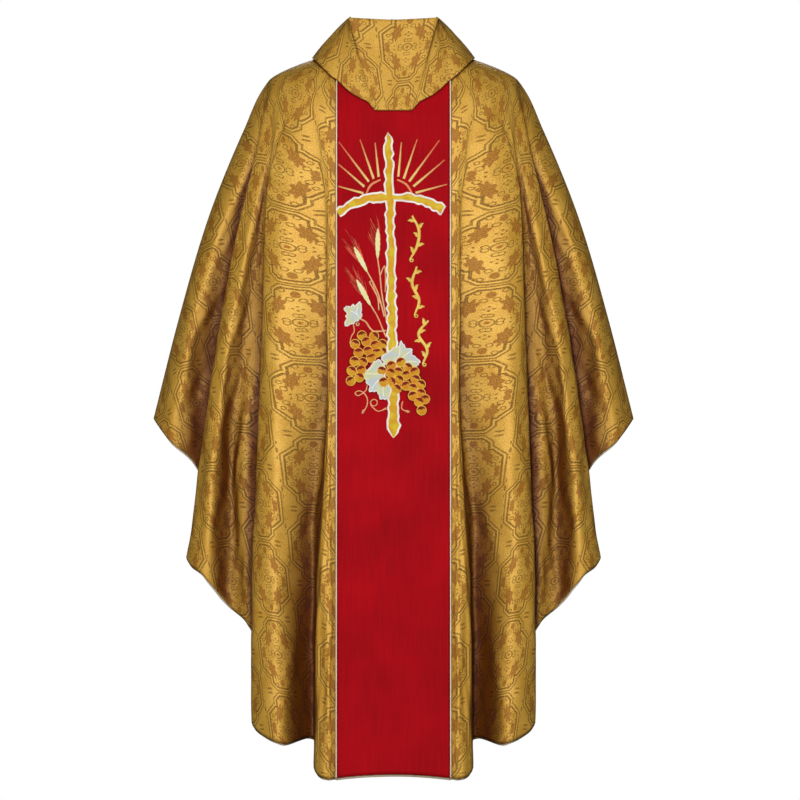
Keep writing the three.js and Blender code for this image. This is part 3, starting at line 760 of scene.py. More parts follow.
def flat_layout(grid: Grid) -> Array:
    """Lays a hanging cloth out flat, each column as a straight line at its own angle.

    Args:
        grid: rows from the neck to the hem, columns from the band outwards.

    Returns:
        Rows by columns by 2: the flat cloth's coordinates in metres.
    """
    steps = np.linalg.norm(np.diff(grid, axis=0), axis=2)
    along = np.concatenate([np.zeros((1, grid.shape[1])), np.cumsum(steps, axis=0)])
    shoulder, kept = 0.14, 0.6  # share of the rows over the shoulder, share kept of the gap there
    start = int(shoulder * grid.shape[0])
    angle = np.zeros(grid.shape[1])
    offset = np.zeros(grid.shape[1])
    for c in range(1, grid.shape[1]):
        top = np.linalg.norm(grid[start, c] - grid[start, c - 1])
        reach = min(along[-1, c], along[-1, c - 1])
        ends = [[np.interp(reach, along[:, k], grid[:, k, axis]) for axis in range(3)] for k in (c, c - 1)]
        apart = np.linalg.norm(np.array(ends[0]) - np.array(ends[1]))
        angle[c] = angle[c - 1] + max(0.0, apart - top) / max(reach - along[start, c], MM)
        offset[c] = offset[c - 1] + top * math.cos(angle[c]) * kept
    x = offset[None, :] + along * np.sin(angle)[None, :]
    y = grid[0, :1, 2] - along * np.cos(angle)[None, :]
    return np.stack([x, y], axis=2)


def shell_faces(rows: int, cols: int, ring: bool) -> Array:
    """Quads of a closed shell whose outer grid comes first and inner grid second."""
    spans = cols if ring else cols - 1
    r, c = np.meshgrid(np.arange(rows - 1), np.arange(spans), indexing="ij")
    a, b = r * cols + c, r * cols + (c + 1) % cols
    outer = np.stack([a, a + cols, b + cols, b], axis=-1).reshape(-1, 4)
    layer = rows * cols
    inner = outer[:, ::-1] + layer
    c = np.arange(spans)
    n = (c + 1) % cols
    top = np.stack([c, n, n + layer, c + layer], axis=-1)
    low = (rows - 1) * cols
    bottom = np.stack([c + low, c + low + layer, n + low + layer, n + low], axis=-1)
    parts = [outer, inner, top, bottom]
    if not ring:
        r = np.arange(rows - 1) * cols
        parts.append(np.stack([r, r + layer, r + layer + cols, r + cols], axis=-1))
        e = r + cols - 1
        parts.append(np.stack([e, e + cols, e + cols + layer, e + layer], axis=-1))
    return np.concatenate(parts)


def mesh_object(
    name: str, points: Array, faces: Array, material: Material, uv: "Array | None" = None
) -> Object:
    """Makes a smooth mesh object at the origin.

    Args:
        name: the piece's name.
        points: vertices by 3, in metres.
        faces: faces by 3 or 4.
        material: its material.
        uv: flat cloth coordinates of each vertex, if it has them.

    Returns:
        The new object, its faces pointing out.
    """
    sides = faces.shape[1]
    corners = points[faces]
    volume = 0.0
    for k in range(1, sides - 1):
        volume += np.einsum("ij,ij->i", corners[:, 0], np.cross(corners[:, k], corners[:, k + 1])).sum()
    if volume < 0:
        faces = faces[:, ::-1]
    mesh = bpy.data.meshes.new(name)
    mesh.vertices.add(len(points))
    mesh.vertices.foreach_set("co", points.astype(np.float32).ravel())
    mesh.loops.add(faces.size)
    mesh.loops.foreach_set("vertex_index", faces.astype(np.int32).ravel())
    mesh.polygons.add(len(faces))
    mesh.polygons.foreach_set("loop_start", np.arange(0, faces.size, sides, dtype=np.int32))
    mesh.polygons.foreach_set("use_smooth", np.ones(len(faces), bool))
    if uv is not None:
        layer = mesh.uv_layers.new(name=CLOTH_UV)
        layer.data.foreach_set("uv", uv[faces.ravel()].astype(np.float32).ravel())
    mesh.update(calc_edges=True)
    mesh.validate()
    mesh.materials.append(material)
    piece = bpy.data.objects.new(name, mesh)
    bpy.context.scene.collection.objects.link(piece)
    return piece


def settle(piece: Object, slot: str, *nodes: str) -> None:
    """Puts a finished piece on the one body, in place of its solids.

    Args:
        piece: the finished piece.
        slot: the record's material slot; not used.
        nodes: the solids that it stands for.
    """
    if nodes:
        piece.name = f"{nodes[0]}_sewn"
        piece.data.name = piece.name
    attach(piece, "root")
    if nodes:
        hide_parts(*nodes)
    LOG.info("%s: %d faces", piece.name, len(piece.data.polygons))


def shell(
    name: str,
    grid: Grid,
    normals: Grid,
    high: float,
    low: float,
    finishes: Finishes,
    key: str,
    flat: Array,
    ring: bool = False,
) -> Object:
    """Builds a closed cloth of even thickness, between two offsets of a grid, in its solid's place.

    Args:
        name: the solid's name.
        grid: the cloth's outer face.
        normals: outward directions of the grid.
        high: offset of the outer face.
        low: offset of the inner face.
        finishes: the materials.
        key: its finish.
        flat: flat coordinates of the grid.
        ring: whether the last column joins the first.

    Returns:
        The finished piece.
    """
    rows, cols = grid.shape[:2]
    points = np.concatenate([(grid + normals * high).reshape(-1, 3), (grid + normals * low).reshape(-1, 3)])
    uv = np.concatenate([flat.reshape(-1, 2)] * 2)
    piece = mesh_object(name, points, shell_faces(rows, cols, ring), finishes.materials[key], uv)
    settle(piece, finishes.slot_of(key), name)
    return piece


def mirrored(grid: Grid) -> Grid:
    """The grid on the other side of the centre plane, its columns in the opposite order."""
    return grid[:, ::-1] * np.array([-1, 1, 1])


def waves(x: Array, y: Array, parts: Sequence[tuple[float, float, float, float]]) -> Array:
    """A sum of plane waves.

    Args:
        x: first coordinate.
        y: second coordinate.
        parts: for each wave its height and its number of turns along x, along y, and its phase.

    Returns:
        The sum, in the heights' unit.
    """
    total = np.zeros(np.broadcast(x, y).shape)
    for height, along_x, along_y, phase in parts:
        total += height * np.sin(2 * math.pi * (along_x * x + along_y * y) + phase)
    return total


# ------------------------------------------------------------------ thread, as geometry nodes
def started(name: str, **inputs: str) -> tuple[NodeTree, Node]:
    """Starts a Geometry Nodes tree that reads loose edges and the material Thread.

    Args:
        name: the tree's name.
        inputs: its other named inputs, each with its kind of socket.

    Returns:
        The tree and its input node.
    """
    tree = bpy.data.node_groups.new(name, "GeometryNodeTree")
    for label, kind in {"Geometry": "Geometry", **inputs, "Thread": "Material"}.items():
        tree.interface.new_socket(label, in_out="INPUT", socket_type=f"NodeSocket{kind}")
    tree.interface.new_socket("Geometry", in_out="OUTPUT", socket_type="NodeSocketGeometry")
    return tree, tree.nodes.new("NodeGroupInput")


def ended(tree: NodeTree, given: Node, geometry: NodeSocket) -> NodeTree:
    """Leads a tree's geometry out: smooth, real, and in the material Thread."""
    smooth = added(tree, "GeometryNodeSetShadeSmooth", Geometry=geometry)
    real = added(tree, "GeometryNodeRealizeInstances", Geometry=smooth.outputs["Geometry"])
    painted = added(tree, "GeometryNodeSetMaterial", Geometry=real.outputs["Geometry"])
    set_inputs(painted, Material=given.outputs["Thread"])
    added(tree, "NodeGroupOutput", Geometry=painted.outputs["Geometry"])
    return tree


def thread_tree() -> NodeTree:
    """A tree that turns loose edges into round threads; its inputs are Radius, Sides and Thread."""
    tree, given = started("threads", Radius="Float", Sides="Int")
    curve = added(tree, "GeometryNodeMeshToCurve", Mesh=given.outputs["Geometry"])
    section = added(tree, "GeometryNodeCurvePrimitiveCircle", Radius=given.outputs["Radius"])
    set_inputs(section, Resolution=given.outputs["Sides"])
    sweep = added(tree, "GeometryNodeCurveToMesh", Curve=curve.outputs["Curve"], Fill_Caps=True)
    set_inputs(sweep, Profile_Curve=section.outputs["Curve"])
    return ended(tree, given, sweep.outputs["Mesh"])


def stitch_tree() -> NodeTree:
    """A tree that sews a running stitch along edges; its inputs are Pitch, Length, Radius and Thread."""
    tree, given = started("running_stitch", Pitch="Float", Length="Float", Radius="Float")
    curve = added(tree, "GeometryNodeMeshToCurve", Mesh=given.outputs["Geometry"])
    spaced = tree.nodes.new("GeometryNodeResampleCurve")
    spaced.mode = "LENGTH"
    set_inputs(spaced, Curve=curve.outputs["Curve"], Length=given.outputs["Pitch"])
    along = tree.nodes.new("GeometryNodeInputTangent")
    turn = added(tree, "FunctionNodeAlignRotationToVector", Vector=along.outputs["Tangent"])
    turn.axis = "X"
    bead = added(tree, "GeometryNodeMeshIcoSphere", Radius=1.0, Subdivisions=2)
    half_length, radius = given.outputs["Length"], given.outputs["Radius"]
    size = added(tree, "ShaderNodeCombineXYZ", X=half_length, Y=radius, Z=radius)
    place = added(tree, "GeometryNodeInstanceOnPoints", Points=spaced.outputs["Curve"])
    set_inputs(place, Instance=bead.outputs["Mesh"], Rotation=turn.outputs["Rotation"])
    set_inputs(place, Scale=size.outputs["Vector"])
    return ended(tree, given, place.outputs["Instances"])


def grown(name: str, lines: Sequence[Array], tree: NodeTree, settings: dict[str, object]) -> Object:
    """Runs a node tree over lines and keeps the plain mesh that it makes.

    Args:
        name: the piece's name.
        lines: each an array of points, in metres.
        tree: the node tree.
        settings: its named inputs.

    Returns:
        A plain mesh object at the origin.
    """
    counts = [len(line) for line in lines]
    starts = np.concatenate([[0], np.cumsum(counts)[:-1]])
    steps = [np.stack([np.arange(n - 1), np.arange(1, n)], axis=1) for n in counts]
    edges = np.concatenate([step + start for step, start in zip(steps, starts)])
    path = bpy.data.meshes.new(f"{name}_path")
    path.vertices.add(sum(counts))
    path.vertices.foreach_set("co", np.concatenate(lines).astype(np.float32).ravel())
    path.edges.add(len(edges))
    path.edges.foreach_set("vertices", edges.astype(np.int32).ravel())
    carrier = bpy.data.objects.new(f"{name}_carrier", path)
    bpy.context.scene.collection.objects.link(carrier)
    modifier = carrier.modifiers.new("grow", "NODES")
    modifier.node_group = tree
    sockets = {item.name: item.identifier for item in tree.interface.items_tree if item.in_out == "INPUT"}
    for key, value in settings.items():
        modifier[sockets[key]] = value
    graph = bpy.context.evaluated_depsgraph_get()
    mesh = bpy.data.meshes.new_from_object(carrier.evaluated_get(graph), depsgraph=graph)
    carrier.modifiers.remove(modifier)
    bpy.data.objects.remove(carrier)
    bpy.data.meshes.remove(path)
    mesh.name = name
    piece = bpy.data.objects.new(name, mesh)
    bpy.context.scene.collection.objects.link(piece)
    return piece


def joined(piece: Object, padding: Sequence[Object]) -> Object:
    """Adds the padding's meshes to a piece and removes the padding objects."""
    whole = bmesh.new()
    whole.from_mesh(piece.data)
    for part in padding:
        whole.from_mesh(part.data)
        bpy.data.objects.remove(part)
    whole.to_mesh(piece.data)
    whole.free()
    return piece


# ------------------------------------------------------------------ the cloth
def band_relief(x: Array, z: Array) -> Array:
    """How far the band stands out of its flat shape, in metres: a few soft, long ripples."""
    half = 96.6 * MM  # to where the band is sewn down
    sewn = np.clip((-0.10 - z) / 0.15, 0, 1) * np.sqrt(np.clip(1.0 - (x / half) ** 2, 0, 1))
    long = waves(x, z, ((0.8 * MM, 4.5, 0.7, 0.4), (0.6 * MM, -7.0, 1.3, 2.1), (0.35 * MM, 11.0, 2.9, 1.0)))
    low = waves(x, z, ((1.5 * MM, 6.0, 0.3, 0.2), (0.7 * MM, -9.0, 1.7, 1.2)))
    return sewn * (long + np.clip((-0.66 - z) / 0.4, 0, 1) * low)


@dataclass
class Cloth:
    """The sewn cloth of one face: panels, band, lining, facing and pipings.

    Attributes:
        face: front or back.
        finishes: the materials.
        rows: rows of the fine grid.
        per_line: columns of the fine grid between two fold lines.
        lining_drop: how far the lining shows under the hem.
        band_lining_drop: the same under the band.
        facing_rows: rows of the lining's grid that the hem facing covers.
    """

    face: Face
    finishes: Finishes
    rows: int = 241
    per_line: int = 9
    lining_drop: float = 3.0 * MM
    band_lining_drop: float = 4.0 * MM
    facing_rows: int = 5

    @property
    def label(self) -> str:
        """front or back."""
        return self.face.side.name.lower()

    def levels(self) -> Array:
        """Row levels from the neckline to the hem, closer together near the neck."""
        even = np.linspace(0, 1, self.rows)
        return even * 0.75 + even**2 * 0.25

    def build(self) -> None:
        """Builds and dresses every piece of this face."""
        t = self.levels()
        drape = Drape(self.face)
        out_sign = self.face.side.value
        columns = np.linspace(1.001, RIDGE, (RIDGE - 1) * self.per_line + 1)
        side = self.rippled(drape.side(columns, t), columns, t)
        normals = grid_normals(side) * out_sign
        normals[:, -1, 1] = 0
        normals[:, -1] /= np.linalg.norm(normals[:, -1], axis=1, keepdims=True)
        flat = flat_layout(side) + np.array([CUT.half_band + CUT.seam, 0])
        left_flat = flat[:, ::-1] * np.array([-1, 1])
        self.panel("right", side, normals, flat)
        self.panel("left", mirrored(side), mirrored(normals), left_flat)

        half = drape.band(np.linspace(0, 1, 25), t)
        band = np.concatenate([mirrored(half)[:, :-1], half], axis=1)
        band[:, :, 1] += out_sign * band_relief(band[:, :, 0], band[:, :, 2])
        band_out = grid_normals(band) * out_sign
        band_flat = band[:, :, (0, 2)]
        name = f"{self.label}_orphrey"
        orphrey = shell(name, band, band_out, 0, -CUT.cloth, self.finishes, "crepe", band_flat)

        whole = np.concatenate([mirrored(side), band, side], axis=1)[::2]
        out = np.concatenate([mirrored(normals), band_out, normals], axis=1)[::2]
        self.lining(whole, out, np.concatenate([left_flat, band_flat, flat], axis=1)[::2])
        for hand, sign in (("right", 1), ("left", -1)):
            self.piping(drape, hand, sign)

    def rippled(self, grid: Grid, columns: Array, t: Array) -> Grid:
        """Adds the small buckles and soft waves that hanging damask has between its folds.

        Args:
            grid: the smooth cloth.
            columns: its columns' places among the fold lines.
            t: its rows' levels.

        Returns:
            The grid with its relief.
        """
        s, level = columns[None, :], t[:, None]
        grow = np.clip((level - 0.15) / 0.6, 0, 1)
        ends = np.clip((s - 1) / 1.2, 0, 1) * np.clip((RIDGE - s) / 1.2, 0, 1)
        slow = ((1.2 * MM, 7.3, 1.6, 0.3), (0.9 * MM, -11.0, 2.7, 1.9))
        quick = ((0.6 * MM, 17.0, 4.3, 0.8), (0.5 * MM, 23.0, -7.0, 2.6), (0.35 * MM, -31.0, 13.0, 0.5))
        height = waves(s / RIDGE, level, (*slow, *quick)) * grow
        pinch = np.exp(-(((s - 5.6) / 1.1) ** 2)) * np.exp(-(((level - 0.2) / 0.09) ** 2))
        height = height + 1.1 * MM * pinch * np.sin(level * 190 + s * 2.2)
        folds = grid_normals(grid) * self.face.side.value
        return grid + folds * (height * ends)[:, :, None]

    def panel(self, hand: str, grid: Grid, normals: Grid, flat: Array) -> None:
        """Builds one gold panel.

        Args:
            hand: right or left.
            grid: the panel's outer face.
            normals: its outward directions.
            flat: its flat layout.
        """
        name = f"{self.label}_{hand}_panel"
        piece = shell(name, grid, normals, 0, -CUT.cloth, self.finishes, "damask", flat)

    def lining(self, whole: Grid, out: Grid, flat: Array) -> None:
        """Builds the lining under all of the face, the facing along its hem and the facing's stitches.

        Args:
            whole: the outer face of the cloth, ridge to ridge.
            out: its outward directions.
            flat: its flat layout.
        """
        high = -(CUT.cloth + CUT.gap)
        low = high - CUT.lining
        whole = whole.copy()
        under_band = np.abs(whole[-1, :, 0]) < CUT.half_band
        whole[-1, :, 2] -= np.where(under_band, self.band_lining_drop, self.lining_drop)
        piece = shell(f"{self.label}_lining", whole, out, high, low, self.finishes, "lining", flat)

        top = low - CUT.gap
        under = top - CUT.facing
        strip, normals, laid = (rows[-self.facing_rows :] for rows in (whole, out, flat))
        facing = shell(f"{self.label}_hem_facing", strip, normals, top, under, self.finishes, "lining", laid)

        sewn = strip[0] * 0.8 + strip[1] * 0.2 + normals[0] * under
        settings = {"Pitch": 5 * MM, "Length": 1.7 * MM, "Radius": 0.35 * MM}
        settings["Thread"] = self.finishes.materials["white"]
        stitches = grown(f"{self.label}_hem_stitches", [sewn], stitch_tree(), settings)
        settle(stitches, self.finishes.slot_of("white"))

    def piping(self, drape: Drape, hand: str, sign: int) -> None:
        """Builds one twisted cord along the band's edge.

        Args:
            drape: the cloth's surface.
            hand: right or left.
            sign: 1 on the right, -1 on the left.
        """
        name = f"{self.label}_{hand}_piping"
        points = drape.on_line(1.0, np.linspace(LEVELS[1] * 0.98, 1, 420))
        points[:, 0] = sign * CUT.half_band
        points[:, 1] -= self.face.side.value * 0.35 * MM
        piece = tube(name, points, CUT.piping, 12, self.finishes.materials["piping"])
        settle(piece, self.finishes.slot_of("piping"), name)


def arc_lengths(line: Array) -> Array:
    """Distances along a line of points from its first."""
    return np.concatenate([[0], np.cumsum(np.linalg.norm(np.diff(line, axis=0), axis=1))])


def tube(name: str, line: Array, radius: float, sides: int, material: Material) -> Object:
    """A closed round cord along a line, with the shallow spiral of its twist.

    Args:
        name: the piece's name.
        line: its points.
        radius: in metres.
        sides: of its section.
        material: its material.

    Returns:
        The new object.
    """
    ahead = np.gradient(line, axis=0)
    ahead /= np.linalg.norm(ahead, axis=1, keepdims=True)
    across = np.cross(ahead, np.array([0.0, 1.0, 0.0]))
    across /= np.maximum(np.linalg.norm(across, axis=1, keepdims=True), 1e-9)
    up = np.cross(across, ahead)
    turn = np.arange(sides) * 2 * math.pi / sides
    twist_length = 9 * MM
    along = arc_lengths(line)
    twist = 1 + 0.07 * np.sin(3 * turn[None, :] + along[:, None] * 2 * math.pi / twist_length)
    ring = across[:, None] * np.cos(turn)[None, :, None] + up[:, None] * np.sin(turn)[None, :, None]
    points = (line[:, None] + ring * (radius * twist)[:, :, None]).reshape(-1, 3)
    r, k = np.meshgrid(np.arange(len(line) - 1), np.arange(sides), indexing="ij")
    a, b = r * sides + k, r * sides + (k + 1) % sides
    quads = np.stack([a, b, b + sides, a + sides], axis=-1).reshape(-1, 4)
    ends = len(points)
    points = np.concatenate([points, line[:1], line[-1:]])
    k = np.arange(sides)
    n = (k + 1) % sides
    last = (len(line) - 1) * sides
    first_cap = np.stack([np.full(sides, ends), n, k], axis=-1)
    last_cap = np.stack([np.full(sides, ends + 1), last + k, last + n], axis=-1)
    triangles = np.concatenate([quads[:, [0, 1, 2]], quads[:, [0, 2, 3]], first_cap, last_cap])
    return mesh_object(name, points, triangles, material)


# ------------------------------------------------------------------ the collar
@dataclass
class Collar:
    """The stand-and-fall collar, with its flat flap at the front.

    Attributes:
        finishes: the materials.
        height: top fold above the neck point.
        top_half: half the width of the top fold's front edge.
        top_front: top fold, forward of the shoulder seam.
        top_back: top fold, behind it.
        edge_lift: the free edge above the cloth.
        flap_share: half the flap's lower edge, as a share of half the band.
        stiffening: thickness of the interfacing.
        per_line: fine columns between two of the collar's lines.
        rows: rows from the top fold to the free edge.
    """

    finishes: Finishes
    height: float = 70 * MM
    top_half: float = 77 * MM
    top_front: float = 60 * MM
    top_back: float = 62 * MM
    edge_lift: float = 3.3 * MM
    flap_share: float = 0.33
    stiffening: float = 0.8 * MM
    per_line: int = 8
    rows: int = 40

    def free_edge(self, face: Face, s: float, z: "float | None" = None) -> Array:
        """A point of the free edge, lying on the cloth.

        Args:
            face: front or back.
            s: the fold line that it lies on.
            z: its height; the collar's edge level if left out.

        Returns:
            The point.
        """
        t = LEVELS[1] if z is None else self.level_at(face, s, z)
        step = 0.02
        here = drape_point(face, s, t)
        beside = drape_point(face, s + step, t) - here if s < RIDGE else np.array([0, -face.side.value, 0])
        normal = np.cross(beside, drape_point(face, s, t + step) - here) * face.side.value
        return here + normal / np.linalg.norm(normal) * self.edge_lift

    def level_at(self, face: Face, s: float, z: float) -> float:
        """The level where line s is at height z."""
        high, low = 0.0, float(LEVELS[3])
        for _ in range(30):
            middle = (high + low) / 2
            if drape_point(face, s, middle)[2] > z:
                high = middle
            else:
                low = middle
        return high

    def beside(self, share: float) -> Place:
        """A point of the top fold along the side; share is 0 at the flap's corner, 1 at the shoulder seam."""
        x = mix(self.top_half, self.top_half + 3 * MM, share)
        return x, -self.top_front * (1 - share), mix(self.height - MM, self.height, share)

    def behind(self, degrees: float) -> Place:
        """A point of the top fold at the back; 0 is the middle and 90 the side."""
        turn = math.radians(degrees)
        side = self.top_half + 3 * MM
        return side * math.sin(turn), self.top_back * math.cos(turn), self.height + MM

    def lines(self) -> tuple[Array, Array]:
        """The collar's straight lines, all round.

        Returns:
            The lower and upper ends, each lines by 3.
        """
        flap_z = -CUT.flap_drop - 3 * MM
        top_middle = (0.0, -self.top_front - 2 * MM, self.height - 5 * MM)
        pairs = [(self.free_edge(FRONT, 0, flap_z), top_middle)]
        pairs.append((self.free_edge(FRONT, self.flap_share, flap_z), self.beside(0)))
        pairs.append((self.free_edge(FRONT, self.flap_share + 0.13, flap_z + 15 * MM), self.beside(0.14)))
        front = ((0.75, 0.25), (1, 0.36), (3, 0.46), (5, 0.56), (7, 0.66), (9, 0.76), (11, 0.86), (13, 0.94))
        for s, share in (*front, (RIDGE, 1)):
            pairs.append((self.free_edge(FRONT, s), self.beside(share)))
        for s, turn in ((13, 84), (11, 78), (9, 72), (7, 65), (5, 58), (3, 50), (1, 40), (0.6, 22), (0, 0)):
            pairs.append((self.free_edge(BACK, s), self.behind(turn)))
        low, top = (np.array([pair[k] for pair in pairs]) for k in (0, 1))
        flip = np.array([-1, 1, 1])
        return tuple(np.concatenate([ends, ends[-2:0:-1] * flip]) for ends in (low, top))

    def fine(self, ends: Array) -> Array:
        """Adds columns between the lines: straight over the flap and beside it, smooth round the neck."""
        count = len(ends)
        straight = {0, 1, count - 2, count - 1}
        points = []
        for i in range(count):
            p0, p1, p2, p3 = (ends[(i + k) % count] for k in (-1, 0, 1, 2))
            for f in np.arange(self.per_line) / self.per_line:
                if i in straight:
                    points.append(p1 + (p2 - p1) * f)
                    continue
                before = p1 - (p2 - p1) if i - 1 in straight else p0
                after = p2 + (p2 - p1) if i + 1 in straight else p3
                spline = 2 * p1 + (p2 - before) * f
                spline = spline + (2 * before - 5 * p1 + 4 * p2 - after) * f**2
                points.append((spline + (3 * p1 - before - 3 * p2 + after) * f**3) / 2)
        return np.array(points)

    def build(self) -> None:
        """Builds the fall, its interfacing and the stand."""
        low, top = (self.fine(ends) for ends in self.lines())
        share = np.linspace(1, 0, self.rows)[:, None, None]
        fall = low[None] * (1 - share) + top[None] * share
        plain = -grid_normals(fall, ring=True)
        columns = np.arange(len(low)) / self.per_line
        around = np.minimum(columns, len(low) / self.per_line - columns)[None, :]
        fall = fall + plain * self.relief(around, share[:, :, 0])[:, :, None]
        out = -grid_normals(fall, ring=True)
        flat = self.flat(fall)

        rolled = self.rolled(fall, out)
        roll_flat = np.concatenate([flat[:1] + np.array([0, 6 * MM]) * k for k in (0.5, 0.25)] + [flat])
        roll_out = np.concatenate([out[:1]] * 2 + [out])
        name, key = "collar_fall", "damask"
        piece = shell(name, rolled, roll_out, 0, -CUT.cloth, self.finishes, key, roll_flat, True)

        stiff = slice(3, self.rows - 4)
        inner, inner_out, inner_flat = fall[stiff], out[stiff], flat[stiff]
        high = -(CUT.cloth + CUT.gap)
        low_face = high - self.stiffening
        name = "collar_interfacing"
        piece = shell(name, inner, inner_out, high, low_face, self.finishes, "canvas", inner_flat, True)

        self.stand(low, top, out[0])

    def rolled(self, fall: Grid, out: Grid) -> Grid:
        """Adds two rows at the top where the cloth turns in over the stand."""
        inward = -out[0] * 1.2 * MM
        rise = np.array([0, 0, 1.0]) * MM
        return np.concatenate([[fall[0] + inward * 1.6 + rise], [fall[0] + inward * 0.6 + rise * 0.8], fall])

    def relief(self, around: Array, share: Array) -> Array:
        """Height of the wrinkles beside the flap and of the soft swelling of the fall.

        Args:
            around: which of the collar's lines, counted from the front middle on either side.
            share: 0 at the free edge and 1 at the top fold.

        Returns:
            The height in metres.
        """
        crease = 1.0
        past = np.clip(around - crease, 0, None)
        arc = np.sin(math.pi * share)
        fan = np.exp(-(((past - 0.7) / 0.75) ** 2)) * np.clip(past / 0.3, 0, 1)
        wrinkles = 0.9 * MM * fan * np.sin(share * 44 + past * 2.0) * np.exp(-(((share - 0.22) / 0.2) ** 2))
        edge = 0.9 * MM * np.exp(-(((around - crease) / 0.16) ** 2)) * np.clip(share / 0.05, 0, 1)
        swell = 2.2 * MM * arc * np.clip(past / 2.5, 0, 1)
        flap = -1.2 * MM * np.clip(1 - around**2, 0, 1) * arc
        broad = 0.8 * MM * np.sin(around * 1.9 + share * 5.0) * arc * np.clip(past / 2, 0, 1)
        return wrinkles + edge + swell + flap + broad

    def around(self, row: Array) -> tuple[Array, float]:
        """Distances along a closed row from the front middle, negative on the left, and its whole length."""
        steps = np.linalg.norm(np.roll(row, -1, axis=0) - row, axis=1)
        along = np.concatenate([[0], np.cumsum(steps)[:-1]])
        return np.where(along > steps.sum() / 2, along - steps.sum(), along), float(steps.sum())

    def flat(self, fall: Grid) -> Array:
        """The fall's flat layout, its length eased so that the damask meets itself at the back."""
        around, whole = self.around(fall[self.rows // 2])
        period = 2 * Damask.pitch
        around = around * round(whole / period) * period / whole
        slant = np.linalg.norm(fall - fall[:1], axis=2)
        return np.stack([np.broadcast_to(around, slant.shape) - 0.021, 0.05 - slant], axis=2)

    def stand(self, low: Array, top: Array, out: Array) -> None:
        """Builds the inner half, from just over the neckline to the top fold.

        Args:
            low: the fall's lower ends.
            top: its upper ends.
            out: outward directions along the top fold.
        """
        depth = np.where(low[:, 1] < 0, FRONT.neck_depth, BACK.neck_depth)
        angle = np.arctan2(low[:, 0] / CUT.neck_half, np.abs(low[:, 1]) / depth)
        side = np.where(low[:, 1] < 0, -1.0, 1.0)
        middle = np.where(low[:, 1] < 0, FRONT.neck_middle, BACK.neck_middle)
        foot_z = CUT.neck_side + (middle - CUT.neck_side) * np.cos(angle) ** 2 + 3 * MM
        foot_x = (CUT.neck_half - 7 * MM) * np.sin(angle)
        foot = np.stack([foot_x, side * (depth - 7 * MM) * np.cos(angle), foot_z], axis=1)
        inset = CUT.cloth + 5 * CUT.gap + self.stiffening
        rows = []
        for share in np.linspace(1, 0, 28):
            seat = mix(inset, CUT.cloth + CUT.gap, max(0.0, (share - 0.85) / 0.15))
            point = foot * (1 - share) + (top - out * seat) * share
            narrow = 1 - 0.06 * math.sin(math.pi * share)
            rows.append(point * np.array([narrow, narrow, 1]))
        grid = np.array(rows)
        normals = -grid_normals(grid, ring=True)
        slant = np.linalg.norm(grid - grid[:1], axis=2)
        flat = np.stack([np.broadcast_to(self.around(grid[0])[0], slant.shape), 0.05 + slant], axis=2)
        piece = shell("collar_stand", grid, normals, 0, -CUT.cloth / 2, self.finishes, "damask", flat, True)


def drape_point(face: Face, s: float, t: float) -> Array:
    """One point of the cloth's outer face at line s and level t."""
    drape, level = Drape(face), np.array([t])
    if s <= 1:
        return drape.band(np.array([s]), level)[0, 0]
    return drape.side(np.array([s]), level)[0, 0]


# ------------------------------------------------------------------ the embroidery
def resampled(line: Line, pitch: float) -> Array:
    """Points every pitch along a smooth curve through the given ones, in millimetres."""
    given = np.array(line, float)
    ends = np.concatenate([[2 * given[0] - given[1]], given, [2 * given[-1] - given[-2]]])
    fine = []
    for i in range(len(given) - 1):
        block = np.stack([ends[i + k][None] for k in range(4)])
        fine += [catmull_rom(block, f)[0] for f in np.linspace(0, 1, 12, endpoint=False)]
    fine.append(given[-1])
    fine = np.array(fine)
    along = arc_lengths(fine)
    places = np.linspace(0, along[-1], max(2, int(along[-1] / pitch)))
    return np.stack([np.interp(places, along, fine[:, k]) for k in (0, 1)], axis=1)


def beside_line(line: Array) -> Array:
    """Unit directions to the left of a line."""
    ahead = np.gradient(line, axis=0)
    ahead /= np.maximum(np.linalg.norm(ahead, axis=1, keepdims=True), 1e-9)
    return np.stack([-ahead[:, 1], ahead[:, 0]], axis=1)


def satin(left: Array, right: Array, height: float, arch: float, lean: int, bends: int) -> list[Strand]:
    """Stitches from one edge of a shape to the other.

    Args:
        left: points of one edge.
        right: as many points of the other.
        height: of the stitches' ends.
        arch: how much higher their middles are.
        lean: by how many stitches the far end runs ahead.
        bends: straight pieces in a stitch.

    Returns:
        One strand for each stitch.
    """
    share = np.linspace(0, 1, bends + 1)[:, None]
    rise = height + arch * 4 * share * (1 - share)
    strands = []
    for i in range(len(left) - lean):
        flat = left[i][None] * (1 - share) + right[i + lean][None] * share
        if np.linalg.norm(flat[0] - flat[-1]) > 0.4:
            strands.append(np.concatenate([flat, rise], axis=1))
    return strands


